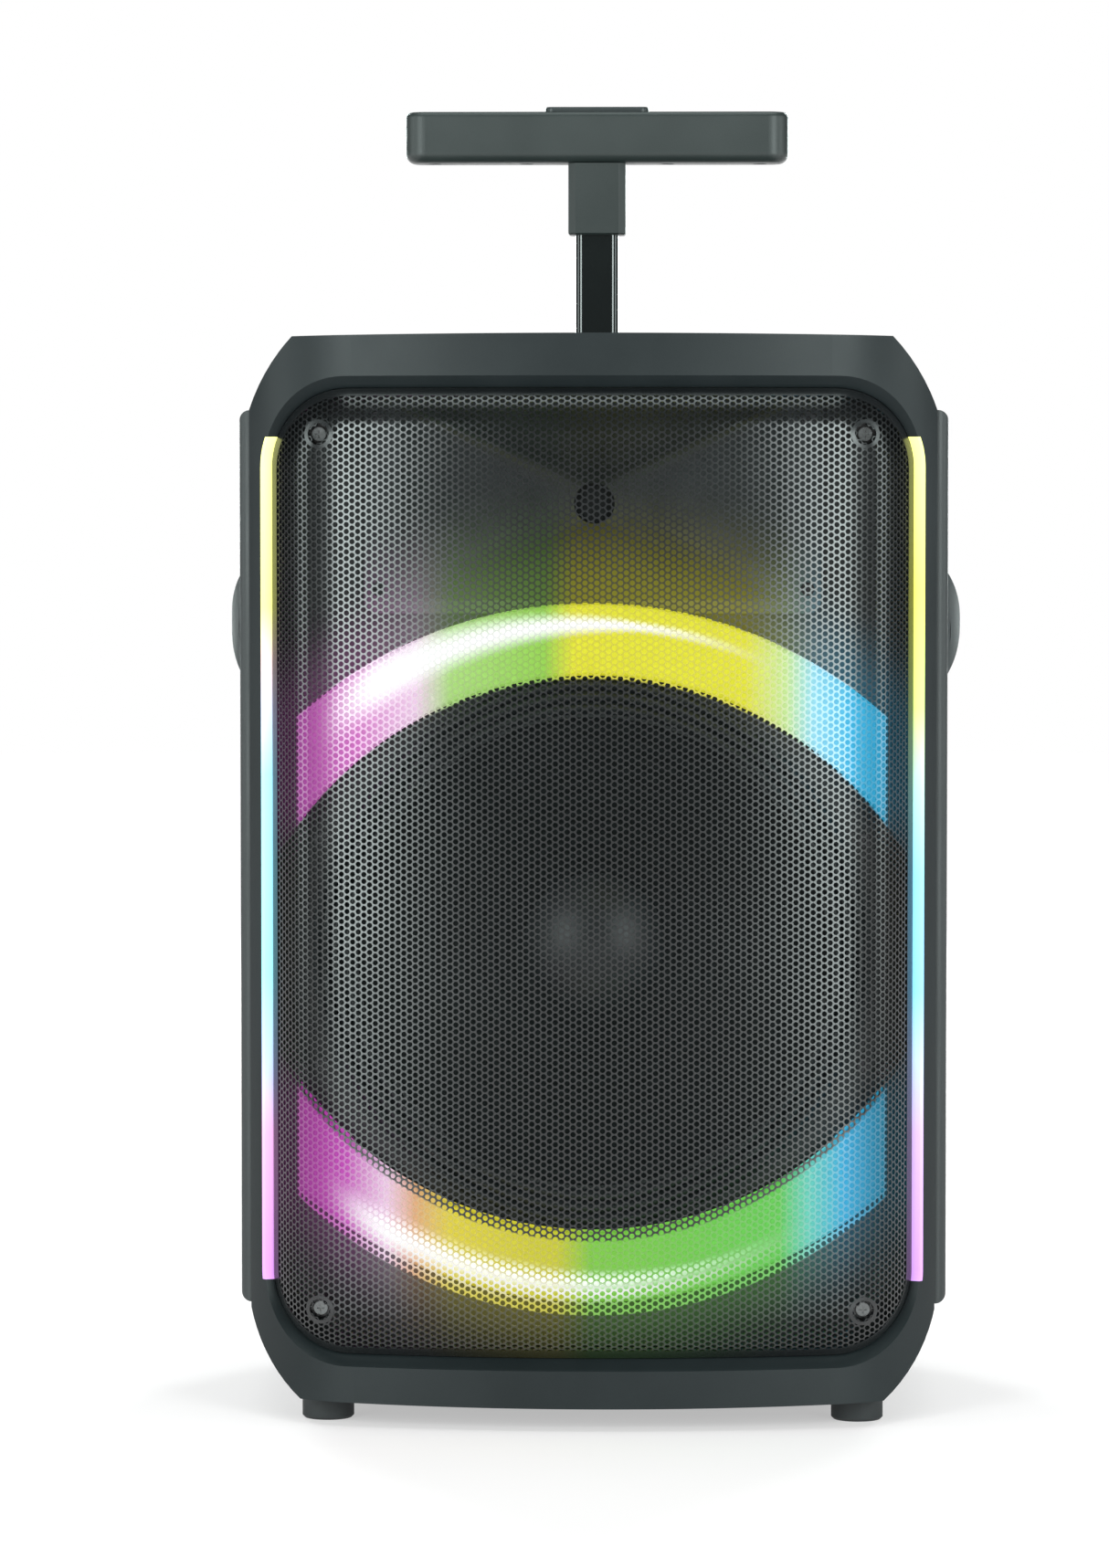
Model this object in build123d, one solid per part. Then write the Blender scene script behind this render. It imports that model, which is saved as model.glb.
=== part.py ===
"""Party speaker: two-way trolley loudspeaker with lit front, telescopic T-handle and wheels.

Frame: X to the right, Y to the rear (the grille faces -Y), Z up. The origin is on the floor,
under the middle of the whole speaker. Millimetres.
"""
from build123d import *
import math
import os

# ---------------------------------------------------------------- overall sizes
body_width = 420.0
body_height = 650.0
body_depth = 330.0
foot_height = 14.0
crown = 1.2               # rise of the top and bottom edges over their middle
top_corner_run = 28.0
top_corner_drop = 44.0
top_corner_bulge = 2.8
base_corner_run = 32.0
base_corner_drop = 52.0
base_corner_bulge = 5.0
skin = 3.5                # moulded wall of the bezel
cabinet_wall = 4.0
rear_chamfer = 16.0

# ---------------------------------------------------------------- bowed front
grille_rise = 15.0        # how far the grille stands in front of its lip
lip_depth = 7.0           # from the bezel's ridge back to the grille's lip
bow_side_run = 65.0       # width of each side's tighter curve
bow_flat_sag = 17.0
bow_side_radius = 110.0
side_bar = 14.5           # bezel bar beside the grille
top_bar = 32.5
base_bar = 30.0
ridge_width = 7.0
opening_radius = 48.0
bezel_back_gap = 26.0     # from the grille's side lip to the bezel's rear edge

# ---------------------------------------------------------------- grille
grille_sheet = 1.2
grille_fit = 0.6
grille_skirt = 6.0
grille_roll = 22.0
grille_screw_side = 30.5  # inwards from the sides of the window
grille_screw_inset = 28.0 # below the top and above the base of the window
dimple_radius = 7.5
dimple_depth = 11.5       # behind the grille's face at the screw
post_radius = 5.0
screw_head_radius = 4.2
screw_head_height = 2.4
screw_shank_radius = 2.0

# ---------------------------------------------------------------- lights
strip_top = 62.0          # strip ends, below the top and above the base of the body
strip_base = 72.0
strip_cut = 9.0
arc_flatness = 43.5       # radius of the inner edge over half the span
arc_band = 44.0
arc_apex_gap = 2.0        # from the surround's outer edge to an arc at its apex
arc_side_gap = 17.0       # from the sides of the window to the ends of the arcs
arc_thickness = 10.0
arc_edge_round = 3.0
arc_leg = 30.0            # width of each end of an arc that stands on the baffle
arc_gap = 7.0             # from the baffle's face to the back of an arc
board_thickness = 1.6

# ---------------------------------------------------------------- drivers
baffle_thickness = 15.0
baffle_fit = 0.5
baffle_setback = 6.5      # from the grille's side lip to the baffle's face
ledge_width = 20.0
baffle_screw_side = 17.0  # inwards from the sides of the window
baffle_screw_drop = 8.0   # from the ends of the arcs
ledge_thickness = 4.0
woofer_rise = 243.0       # woofer's axis above the base of the window
frame_rim = 18.0          # frame outside the surround
frame_lip = 4.0
basket_rim = 5.0          # of the frame, inside the baffle's hole
frame_screw_out = 12.0    # screw circle outside the surround
frame_screw_count = 8
surround_outer = 168.0
surround_width = 22.0
surround_pleat = 5.0
cone_depth = 74.0
cone_setback = 2.0
cone_wall = 1.4
cap_radius = 44.0
cap_rise = 17.0
cap_wall = 0.9
former_radius = 38.0
former_wall = 0.6
coil_wall = 0.8
coil_gap = 0.9            # between the coil former and the pole
coil_hole = 40.4          # bore of the top plate around the coil
spider_inset = 8.3        # inside the basket
spider_setback = 87.0
basket_rear_radius = 82.0
basket_depth = 106.0
basket_wall = 2.5
window_count = 6
magnet_radius = 85.0
magnet_height = 22.0
plate_height = 10.0
horn_drop = 70.0          # horn's axis below the top of the window
horn_mouth_width = 235.0
horn_mouth_height = 118.0
horn_flange = 5.0
horn_depth = 74.0
horn_wall = 3.0
throat_radius = 12.7
driver_radius = 45.0
driver_depth = 48.0
horn_screw_x = 131.0
horn_screw_rise = 52.0

# ---------------------------------------------------------------- telescopic handle
handle_setback = 85.0     # Y of the handle's tubes
tube_width = 27.5
tube_depth = 20.0
tube_corner = 5.0
tube_wall = 1.6
slide_gap = 0.3
tube_out = 68.5           # tube showing between the body and the collar
inner_travel = 110.0      # of the inner tube, upwards
tube_overlap = 64.0
collar_width = 36.5
collar_depth = 29.0
collar_height = 45.5
well_depth = 58.0
well_gap = 1.0
well_rim = 9.0
well_wall_thick = 2.0
grip_width = 244.5
grip_depth = 34.0
grip_base_height = 24.0
grip_cap_height = 8.5
grip_end_radius = 13.0
grip_wall = 3.0
button_width = 66.0
button_depth = 18.0
button_rise = 3.5
button_gap = 0.4
rod_radius = 2.5
spring_turns = 5
spring_wire = 1.2
grip_screw_places = (45.0, 104.0)
rest_pad_x = 73.0
rest_pad_length = 35.0
rest_pad_width = 22.0
rest_pad_height = 4.0
rest_pad_root = 8.0       # of a pad, set into the top

# ---------------------------------------------------------------- side panels and carry handles
panel_thick = 8.2
panel_front_gap = 4.0
panel_rear_gap = 24.0
side_handle_drop = 177.0  # middle of the carry grip below the top
pocket_length = 140.0
pocket_height = 112.0
pocket_depth = 36.0
pocket_wall = 3.0
pocket_y = 35.0
pocket_lip = 9.0
pocket_round = 26.0
brow_height = 66.0
brow_proud = 11.5
brow_wall = 8.0

# ---------------------------------------------------------------- feet and wheels
foot_radius = 15.9
front_foot_side = 47.5    # foot centres inside the sides
rear_foot_side = 98.0
front_foot_back = 67.0    # foot centres inside the front and the rear wall
rear_foot_back = 47.0
wheel_radius = 38.0
wheel_width = 30.0
wheel_side = 52.0         # middle of the tread inside the side
wheel_lift = 2.5          # wheels hang this far above the floor while the speaker stands
wheel_proud = 6.0         # how far the wheels reach behind the rear wall
tyre_thickness = 7.0
axle_radius = 5.0
axle_clearance = 0.08
well_wall = 3.5
wheel_well_gap = 5.0
hub_hole_radius = 5.0

# ---------------------------------------------------------------- rear panel
tray_width = 176.0
tray_height = 204.0
tray_drop = 164.0         # middle of the tray below the top
tray_depth = 14.0
tray_wall = 2.5
tray_flange = 7.0
tray_fit = 0.5
shaft_radius = 3.0
shaft_clearance = 0.08
shaft_reach = 10.5        # knob shaft behind the tray's floor
knob_height = 10.5
knob_float = 0.5
key_gap = 0.4
port_radius = 34.0
port_wall = 3.0
port_length = 104.0
port_side = 98.0          # port centres inside the sides
port_rise = 211.0         # above the base
display_width = 70.0
display_high = 28.0
key_width = 15.0
key_high = 9.0
usb_width = 14.0
usb_high = 7.0
inlet_width = 28.0
inlet_high = 20.0
rocker_width = 14.0
rocker_high = 20.0
rocker_tilt = 9.0
rocker_gap = 0.6

# ---------------------------------------------------------------- stations worked out from them
half_width = body_width / 2
bow_flat_half = half_width - bow_side_run
base_z = foot_height
top_z = foot_height + body_height
y_front = -body_depth / 2
y_rear = body_depth / 2 - wheel_proud
y_ridge = y_front + grille_rise - lip_depth
bow_flat_radius = (bow_flat_half**2 + bow_flat_sag**2) / (2 * bow_flat_sag)
bow_join_sine = bow_flat_half / bow_flat_radius
bow_join_cosine = math.sqrt(1 - bow_join_sine**2)


def bow(x):
    """Setback of the bowed front, behind its middle, at a distance x from the centre line."""
    x = abs(x)
    if x <= bow_flat_half:
        return bow_flat_radius - math.sqrt(bow_flat_radius**2 - x**2)
    sine = bow_join_sine + (x - bow_flat_half) / bow_side_radius
    return bow_flat_sag + bow_side_radius * (bow_join_cosine - math.sqrt(1 - sine**2))


opening_half = half_width - side_bar
opening_top = top_z - top_bar
opening_base = base_z + base_bar
opening_z = (opening_top + opening_base) / 2
opening_height = opening_top - opening_base
y_side_lip = y_ridge + bow(opening_half) + lip_depth
y_baffle = y_side_lip + baffle_setback
y_baffle_back = y_baffle + baffle_thickness
y_split = y_side_lip + bezel_back_gap + ledge_thickness
grille_screw_x = opening_half - grille_screw_side
y_dimple_floor = y_ridge + lip_depth - grille_rise + bow(grille_screw_x) + dimple_depth
y_spider = y_baffle + spider_setback

woofer_height = opening_base + woofer_rise
horn_height = opening_top - horn_drop
frame_radius = surround_outer + frame_rim
basket_hole = surround_outer + basket_rim
basket_at_spider = basket_hole - (basket_hole - basket_rear_radius) * spider_setback / basket_depth
spider_radius = basket_at_spider - spider_inset
frame_screw_circle = surround_outer + frame_screw_out
surround_inner = surround_outer - surround_width
arc_apex = surround_outer + arc_apex_gap
arc_half_width = opening_half - arc_side_gap
arc_inner_radius = arc_half_width + arc_flatness
arc_end_rise = arc_apex - arc_inner_radius + math.sqrt(arc_inner_radius**2 - arc_half_width**2)
baffle_screw_rise = arc_end_rise - baffle_screw_drop
arc_leg_from = arc_half_width - arc_leg
baffle_screw_x = opening_half - baffle_screw_side
side_handle_height = top_z - side_handle_drop
front_foot_x = half_width - front_foot_side
rear_foot_x = half_width - rear_foot_side
front_foot_y = y_front + front_foot_back
rear_foot_y = y_rear - rear_foot_back
wheel_x = half_width - wheel_side
tray_z = top_z - tray_drop
port_x = half_width - port_side
port_z = base_z + port_rise

grille_screw_places = [(side * grille_screw_x, z)
                       for side in (-1, 1)
                       for z in (opening_base + grille_screw_inset, opening_top - grille_screw_inset)]
baffle_screw_places = [(side * baffle_screw_x, woofer_height + level * baffle_screw_rise)
                       for side in (-1, 1) for level in (-1, 1)]
horn_screw_places = [(side * horn_screw_x, horn_height + level * horn_screw_rise)
                     for side in (-1, 1) for level in (-1, 1)]
frame_screw_places = [(frame_screw_circle * math.cos(math.radians(360 * (n + 0.5) / frame_screw_count)),
                       woofer_height + frame_screw_circle * math.sin(math.radians(360 * (n + 0.5)
                                                                                  / frame_screw_count)))
                      for n in range(frame_screw_count)]

wheel_y = y_rear + wheel_proud - wheel_radius
wheel_z = wheel_lift + wheel_radius
wheel_well_in = wheel_x - wheel_width / 2 - wheel_well_gap
wheel_well_out = wheel_x + wheel_width / 2 + wheel_well_gap
wheel_well_front = wheel_y - wheel_radius - wheel_well_gap
wheel_well_top = wheel_z + wheel_radius + wheel_well_gap

brow_top = side_handle_height + brow_height / 2
pocket_z = brow_top - pocket_height / 2

z_collar_base = top_z + tube_out
z_grip_base = z_collar_base + collar_height
z_tube_head = z_grip_base - 8
z_well_floor = top_z - well_depth
z_middle_top = z_well_floor - 2
inner_drop = z_grip_base - top_z - rest_pad_height
z_inner_base = z_middle_top - inner_travel - tube_overlap
z_middle_base = z_inner_base - inner_drop - 10
z_sleeve_base = z_middle_base - 4
z_screw_seat = z_grip_base + screw_head_height + 0.6
z_screw_tip = z_grip_base + grip_base_height + grip_cap_height - grip_wall
z_button_flange = z_screw_tip - 0.1
grip_screw_spots = [side * x for side in (-1, 1) for x in grip_screw_places]

y_pot = y_rear - tray_depth - tray_wall - shaft_reach
tray_screw_x = tray_width / 2 + tray_flange / 2 - 0.2
tray_screw_places = [(side * tray_screw_x, tray_z + level * 0.42 * tray_height)
                     for side in (-1, 1) for level in (-1, 0, 1)]
display_z = tray_z + 74
knob_places = {"volume_knob": (0.0, tray_z - 2, 13.0), "bass_knob": (-34.0, tray_z - 2, 8.0),
               "treble_knob": (34.0, tray_z - 2, 8.0), "mic_knob": (-64.0, tray_z - 2, 8.0)}
key_places = {"play_key": (-36.0, tray_z + 38), "back_key": (-12.0, tray_z + 38),
              "next_key": (12.0, tray_z + 38), "light_key": (36.0, tray_z + 38)}
socket_places = [(-62.0, tray_z - 40, 5.0), (-40.0, tray_z - 40, 5.0), (-14.0, tray_z - 40, 4.2),
                 (4.0, tray_z - 40, 4.2)]
usb_x = 62.0
usb_z = tray_z - 2
inlet_x = -44.0
inlet_z = tray_z - 78
rocker_x = 44.0


# ---------------------------------------------------------------- shared shape helpers
def facing(y):
    """Plane at depth y whose sketches are drawn in X and Z and are extruded towards the front."""
    return Plane(origin=(0, y, 0), x_dir=(1, 0, 0), z_dir=(0, -1, 0))


def slab(sketch, y_low, y_high):
    """Sketch drawn in X and Z, made solid from y_low to y_high."""
    return extrude(facing(y_high) * sketch, amount=y_high - y_low)


def block(x_low, x_high, y_low, y_high, z_low, z_high):
    size = (x_high - x_low, y_high - y_low, z_high - z_low)
    centre = ((x_low + x_high) / 2, (y_low + y_high) / 2, (z_low + z_high) / 2)
    return Pos(*centre) * Box(*size)


def rod_y(x, z, radius, y_low, y_high):
    return slab(Pos(x, z) * Circle(radius), y_low, y_high)


def rod_z(x, y, radius, z_low, z_high):
    return Pos(x, y, (z_low + z_high) / 2) * Cylinder(radius, z_high - z_low)


def rod_x(y, z, radius, x_low, x_high):
    return Pos((x_low + x_high) / 2, y, z) * Rot(0, 90, 0) * Cylinder(radius, x_high - x_low)


def rounded(width, height, radius):
    return RectangleRounded(width, height, radius)


def turned(points, z):
    """Ring or disc turned about an axis along Y at height z, from (radius, y) points."""
    outline = Polyline(*[(radius, y) for radius, y in points], close=True)
    return Pos(0, 0, z) * revolve(make_face(outline), axis=Axis.Y)


def mirrored(shape):
    return mirror(shape, about=Plane.YZ)


# ---------------------------------------------------------------- body outlines
def body_face(inset=0.0):
    """Front outline of the body: crowned top and base, straight sides, soft cut corners."""
    side = half_width - inset
    high = top_z - inset
    low = base_z + inset
    top_x = side - top_corner_run
    base_x = side - base_corner_run
    top_knee = high - crown
    base_knee = low + crown
    side_top = top_knee - top_corner_drop
    side_base = base_knee + base_corner_drop

    def corner(start, end, bulge):
        run = end[0] - start[0]
        drop = end[1] - start[1]
        length = math.hypot(run, drop)
        outward = math.copysign(1, start[0]), math.copysign(1, start[1] - (high + low) / 2)
        middle = ((start[0] + end[0]) / 2 + outward[0] * bulge * abs(drop) / length,
                  (start[1] + end[1]) / 2 + outward[1] * bulge * abs(run) / length)
        return ThreePointArc(start, middle, end)

    edges = [
        ThreePointArc((-top_x, top_knee), (0, high), (top_x, top_knee)),
        corner((top_x, top_knee), (side, side_top), top_corner_bulge),
        Line((side, side_top), (side, side_base)),
        corner((side, side_base), (base_x, base_knee), base_corner_bulge),
        ThreePointArc((base_x, base_knee), (0, low), (-base_x, base_knee)),
        corner((-base_x, base_knee), (-side, side_base), base_corner_bulge),
        Line((-side, side_base), (-side, side_top)),
        corner((-side, side_top), (-top_x, top_knee), top_corner_bulge),
    ]
    return make_face(edges)


def opening_face(grow=0.0):
    """Rounded window of the bezel, grown outwards all round."""
    width = 2 * (opening_half + grow)
    height = opening_height + 2 * grow
    return Pos(0, opening_z) * rounded(width, height, opening_radius + grow)


def bow_block(shift, y_back):
    """Everything behind the bowed front surface, moved back by shift, as far as y_back."""
    reach = half_width + 2
    y_middle = y_ridge + shift
    y_join = y_middle + bow_flat_sag
    y_end = y_middle + bow(reach)
    middle_x = (bow_flat_half + reach) / 2
    y_mid_side = y_middle + bow(middle_x)
    edges = [
        ThreePointArc((-bow_flat_half, y_join), (0, y_middle), (bow_flat_half, y_join)),
        ThreePointArc((bow_flat_half, y_join), (middle_x, y_mid_side), (reach, y_end)),
        Line((reach, y_end), (reach, y_back)),
        Line((reach, y_back), (-reach, y_back)),
        Line((-reach, y_back), (-reach, y_end)),
        ThreePointArc((-reach, y_end), (-middle_x, y_mid_side), (-bow_flat_half, y_join)),
    ]
    return extrude(make_face(edges), amount=top_z + foot_height)


# ---------------------------------------------------------------- front bezel and its light strips
def window_edges(solid, grow):
    """Edges of a solid's front face that follow the rounded window, grown by grow."""
    radius = opening_radius + grow
    found = []
    for edge in solid.edges():
        on_window = True
        for share in (0.1, 0.5, 0.9):
            spot = edge.position_at(share)
            past_x = abs(spot.X) - (opening_half - opening_radius)
            past_z = abs(spot.Z - opening_z) - (opening_height / 2 - opening_radius)
            reach = math.hypot(max(past_x, 0), max(past_z, 0)) + min(max(past_x, past_z), 0)
            on_window = on_window and abs(reach - radius) < 0.01
        runs_back = abs(edge.tangent_at(0.5).Y) > 0.95
        behind = edge.center().Y > y_side_lip + 1
        if on_window and not runs_back and not behind:
            found.append(edge)
    return found


def bevelled_ring():
    """Bezel moulding before its hollow: bowed front, window, and slope from ridge to lip."""
    solid = slab(body_face(), y_front, y_split) & bow_block(0, y_split)
    solid = solid - slab(opening_face(), y_front, y_split)
    return chamfer(window_edges(solid, 0), lip_depth)


def strip_zone():
    """The band beside the grille that the light strips fill, on both sides."""
    strip_high = top_z - strip_top
    strip_low = base_z + strip_base
    band = opening_face(ridge_width) - opening_face()
    limits = Pos(0, (strip_high + strip_low) / 2) * Rectangle(2 * body_width, strip_high - strip_low)
    return slab(band & limits, y_front, y_split) - bow_block(strip_cut, y_split)


def front_bezel():
    ring = bevelled_ring() - strip_zone()
    hollow = slab(body_face(skin), y_front, y_split) & bow_block(strip_cut + skin, y_split)
    hollow = hollow - slab(opening_face(skin), y_front, y_split)
    ledge_back = y_baffle_back + ledge_thickness
    ledge = slab(opening_face(1) - opening_face(-ledge_width), y_baffle_back, ledge_back)
    ledge = ledge - rod_y(0, woofer_height, basket_hole + 2, y_front, y_split)
    bezel = ring - hollow + ledge
    for x, z in baffle_screw_places:
        bezel = bezel - rod_y(x, z, screw_shank_radius, y_front, y_split)
    return bezel


def light_strips():
    both = bevelled_ring() & strip_zone()
    return both.solids().sort_by(Axis.X)


# ---------------------------------------------------------------- grille
def cushion(inset, shift, y_back):
    """Bowed front with its edges rolled off, the outline of the pressed grille."""
    solid = slab(opening_face(-inset), y_front - 1, y_back) & bow_block(shift, y_back)
    return chamfer(window_edges(solid, -inset), grille_rise - grille_sheet, grille_roll)


def grille():
    y_back = y_side_lip + grille_skirt
    outer = cushion(grille_fit, lip_depth - grille_rise, y_back)
    inner = cushion(grille_fit + grille_sheet, lip_depth - grille_rise + grille_sheet, y_back)
    sheet = outer - inner - bow_block(lip_depth + grille_skirt, y_back)
    for x, z in grille_screw_places:
        y_floor = y_dimple_floor
        cup = rod_y(x, z, dimple_radius, y_front - 1, y_floor + grille_sheet)
        hollow = rod_y(x, z, dimple_radius - grille_sheet, y_front - 1, y_floor)
        hole = rod_y(x, z, screw_shank_radius, y_front - 1, y_back)
        sheet = sheet - cup + ((cup & outer) - hollow) - hole
    return sheet


def screw_y(x, z, y_seat, length, facing_front=True):
    """Pan-head screw along Y, its head on the seat."""
    sign = -1 if facing_front else 1
    y_head = y_seat + sign * screw_head_height
    y_tip = y_seat - sign * length
    head = rod_y(x, z, screw_head_radius, min(y_head, y_seat), max(y_head, y_seat))
    shank = rod_y(x, z, screw_shank_radius, min(y_seat, y_tip), max(y_seat, y_tip))
    slot_long = screw_head_radius * 1.1
    slot_face = Rectangle(slot_long, 1.0) + Rectangle(1.0, slot_long)
    y_slot = y_head - sign * 1.2
    cross = slab(Pos(x, z) * slot_face, min(y_head, y_slot), max(y_head, y_slot))
    return head + shank - cross


# ---------------------------------------------------------------- baffle and light arcs
def baffle():
    plate = slab(opening_face(-baffle_fit), y_baffle, y_baffle_back)
    plate = plate - rod_y(0, woofer_height, frame_radius + 0.3, y_baffle, y_baffle + frame_lip)
    plate = plate - rod_y(0, woofer_height, basket_hole, y_baffle, y_baffle_back)
    hole_wide = horn_mouth_width + 2 * horn_wall + 1
    hole_high = horn_mouth_height + 2 * horn_wall + 1
    plate = plate - slab(Pos(0, horn_height) * Rectangle(hole_wide, hole_high), y_baffle, y_baffle_back)
    for x, z in grille_screw_places:
        plate = plate + rod_y(x, z, post_radius, y_dimple_floor + grille_sheet, y_baffle)
        plate = plate - rod_y(x, z, screw_shank_radius, y_front, y_baffle)
    for x, z in baffle_screw_places + horn_screw_places + frame_screw_places:
        plate = plate - rod_y(x, z, screw_shank_radius, y_front, y_split)
    return plate


def arc_face(side, half_wide, from_x=0.0):
    """Band of a circle over (side +1) or under (side -1) the woofer, between two widths."""
    centre_z = woofer_height + side * (arc_apex - arc_inner_radius)
    band = Circle(arc_inner_radius + arc_band) - Circle(arc_inner_radius)
    reach = arc_inner_radius + arc_band
    window = Pos(0, side * reach / 2) * Rectangle(2 * half_wide, reach)
    if from_x > 0:
        window = window - Rectangle(2 * from_x, 4 * reach)
    return Pos(0, centre_z) * (band & window)


def light_arc(side):
    y_back = y_baffle - arc_gap
    lens = slab(arc_face(side, arc_half_width), y_back - arc_thickness, y_back)
    front = lens.faces().sort_by(Axis.Y)[0]
    lens = fillet(front.edges(), arc_edge_round)
    legs = slab(arc_face(side, arc_half_width, arc_leg_from), y_back, y_baffle)
    return lens + legs


def led_boards():
    """Curved boards behind the two arcs and straight ones behind the side strips."""
    y_face = y_baffle - arc_gap
    boards = [slab(arc_face(side, arc_leg_from - 1), y_face, y_face + board_thickness)
              for side in (1, -1)]
    y_strip = y_ridge + bow(half_width - skin) + strip_cut + skin + 1
    z_high = top_z - strip_top - 4
    z_low = base_z + strip_base + 4
    x_low = opening_half + skin + 0.3
    x_high = half_width - skin - 0.5
    for_strip = block(x_low, x_high, y_strip, y_strip + board_thickness, z_low, z_high)
    return Compound(boards + [for_strip, mirrored(for_strip)])


# ---------------------------------------------------------------- horn and its driver
def horn_loft(grow):
    """Four flat flares from the mouth to the round throat."""
    y_mouth = y_baffle - horn_flange
    y_throat = y_mouth + horn_depth
    mouth_face = facing(y_mouth) * (Pos(0, horn_height) * rounded(
        horn_mouth_width + 2 * grow, horn_mouth_height + 2 * grow, 6.0 + grow))
    throat_face = facing(y_throat) * (Pos(0, horn_height) * rounded(
        2 * (throat_radius + grow), 2 * (throat_radius + grow), throat_radius + grow - 0.2))
    return loft([mouth_face, throat_face], ruled=True)


def horn():
    flange_wide = 2 * horn_screw_x + 4 * screw_head_radius
    flange_high = horn_mouth_height + 2 * horn_wall + 10
    flange = slab(Pos(0, horn_height) * rounded(flange_wide, flange_high, 8.0),
                  y_baffle - horn_flange, y_baffle)
    shell = flange + horn_loft(horn_wall)
    y_throat = y_baffle - horn_flange + horn_depth
    collar = rod_y(0, horn_height, throat_radius + 12, y_throat - 5, y_throat)
    shell = shell + collar - horn_loft(0)
    shell = shell - rod_y(0, horn_height, throat_radius - 0.2, y_throat - 8, y_throat)
    for x, z in horn_screw_places:
        shell = shell - rod_y(x, z, screw_shank_radius, y_front, y_baffle)
    return shell


def compression_driver():
    y_face = y_baffle - horn_flange + horn_depth
    y_back = y_face + driver_depth
    plate = rod_y(0, horn_height, driver_radius - 4, y_face, y_face + 8)
    magnet = rod_y(0, horn_height, driver_radius, y_face + 8, y_back - 12)
    cover = rod_y(0, horn_height, driver_radius - 7, y_back - 12, y_back)
    entry = rod_y(0, horn_height, throat_radius - 0.2, y_face, y_face + 6)
    return plate + magnet + cover - entry


# ---------------------------------------------------------------- woofer
def woofer_frame():
    y0 = y_baffle
    ring = frame_radius - basket_hole
    outer = basket_hole - 1.5
    basket = [(surround_outer - 2, y0), (frame_radius, y0), (frame_radius, y0 + frame_lip),
              (outer, y0 + frame_lip), (basket_rear_radius + basket_wall, y0 + basket_depth - 4),
              (basket_rear_radius + basket_wall, y0 + basket_depth),
              (coil_hole + 4, y0 + basket_depth), (coil_hole + 4, y0 + basket_depth - 4),
              (basket_rear_radius - 1, y0 + basket_depth - 4), (outer - basket_wall - 2, y0 + frame_lip)]
    frame = turned(basket, woofer_height)
    shelf = turned([(spider_radius - 4, y_spider + 1.5), (spider_radius + 3, y_spider + 1.5),
                    (spider_radius + 1, y_spider + 4), (spider_radius - 4, y_spider + 4)], woofer_height)
    for turn in range(window_count):
        window = block(-30, 30, y0 + 22, y0 + basket_depth - 28, 60, frame_radius)
        spin = Pos(0, 0, woofer_height) * Rot(0, turn * 360 / window_count, 0)
        frame = frame - spin * window
    frame = frame + shelf
    for x, z in frame_screw_places:
        frame = frame - rod_y(x, z, screw_shank_radius, y_front, y0 + frame_lip)
    return frame


def woofer_surround():
    """Half-roll pleats between the frame and the cone."""
    y0 = y_baffle
    thick = 1.2
    pleat = (surround_outer - surround_inner - 6) / 4
    line = [(surround_outer + 6, 0), (surround_outer - 1, 0)]
    for fold in range(2):
        start = surround_outer - 2 - 2 * pleat * fold
        line.append((start - pleat * 0.5, -surround_pleat * 0.8))
        line.append((start - pleat, -surround_pleat))
        line.append((start - pleat * 1.5, -surround_pleat * 0.8))
        line.append((start - 2 * pleat, -0.4))
    line.append((surround_inner, cone_setback - thick))
    front = [(radius, y0 + y - thick) for radius, y in line]
    back = [(radius, y0 + y) for radius, y in reversed(line)]
    return turned(front + back, woofer_height)


def woofer_cone():
    y_rim = y_baffle + cone_setback
    y_neck = y_rim + cone_depth
    rim = surround_inner + 3
    neck = former_radius + former_wall
    return turned([(rim, y_rim), (rim, y_rim + cone_wall), (neck, y_neck + cone_wall),
                   (neck, y_neck), (rim - 3, y_rim)], woofer_height)


def dust_cap():
    """Shallow dome glued to the cone over the voice coil."""
    y_rim = y_baffle + cone_setback
    neck = former_radius + former_wall
    y_seat = y_rim + cone_depth * (surround_inner - cap_radius) / (surround_inner - neck) - 0.1
    dome_radius = (cap_radius**2 + cap_rise**2) / (2 * cap_rise)
    centre = Pos(0, y_seat - cap_rise + dome_radius, woofer_height)
    ball = centre * Sphere(dome_radius) - centre * Sphere(dome_radius - cap_wall)
    return ball & rod_y(0, woofer_height, cap_radius + 1, y_seat - cap_rise - 1, y_seat)


def woofer_spider():
    line = []
    inner = former_radius + former_wall
    folds = 5
    pitch = (spider_radius - inner - 3) / folds
    for fold in range(folds):
        line.append((inner + 1 + pitch * fold, 1.5))
        line.append((inner + 1 + pitch * (fold + 0.5), -1.5))
    line = [(inner, 0)] + line + [(spider_radius - 2, 0.9), (spider_radius, 0.9)]
    front = [(radius, y_spider + y) for radius, y in line]
    back = [(radius, y_spider + y + 0.6) for radius, y in reversed(line)]
    return turned(front + back, woofer_height)


def voice_coil():
    y_neck = y_baffle + cone_setback + cone_depth
    y_plate = y_baffle + basket_depth
    inner = former_radius
    outer = former_radius + former_wall
    wound = outer + coil_wall
    y_wind = y_plate - 4
    return turned([(inner, y_neck - 2), (outer, y_neck - 2), (outer, y_wind), (wound, y_wind),
                   (wound, y_wind + 18), (outer, y_wind + 18), (outer, y_wind + 20),
                   (inner, y_wind + 20)], woofer_height)


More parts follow.
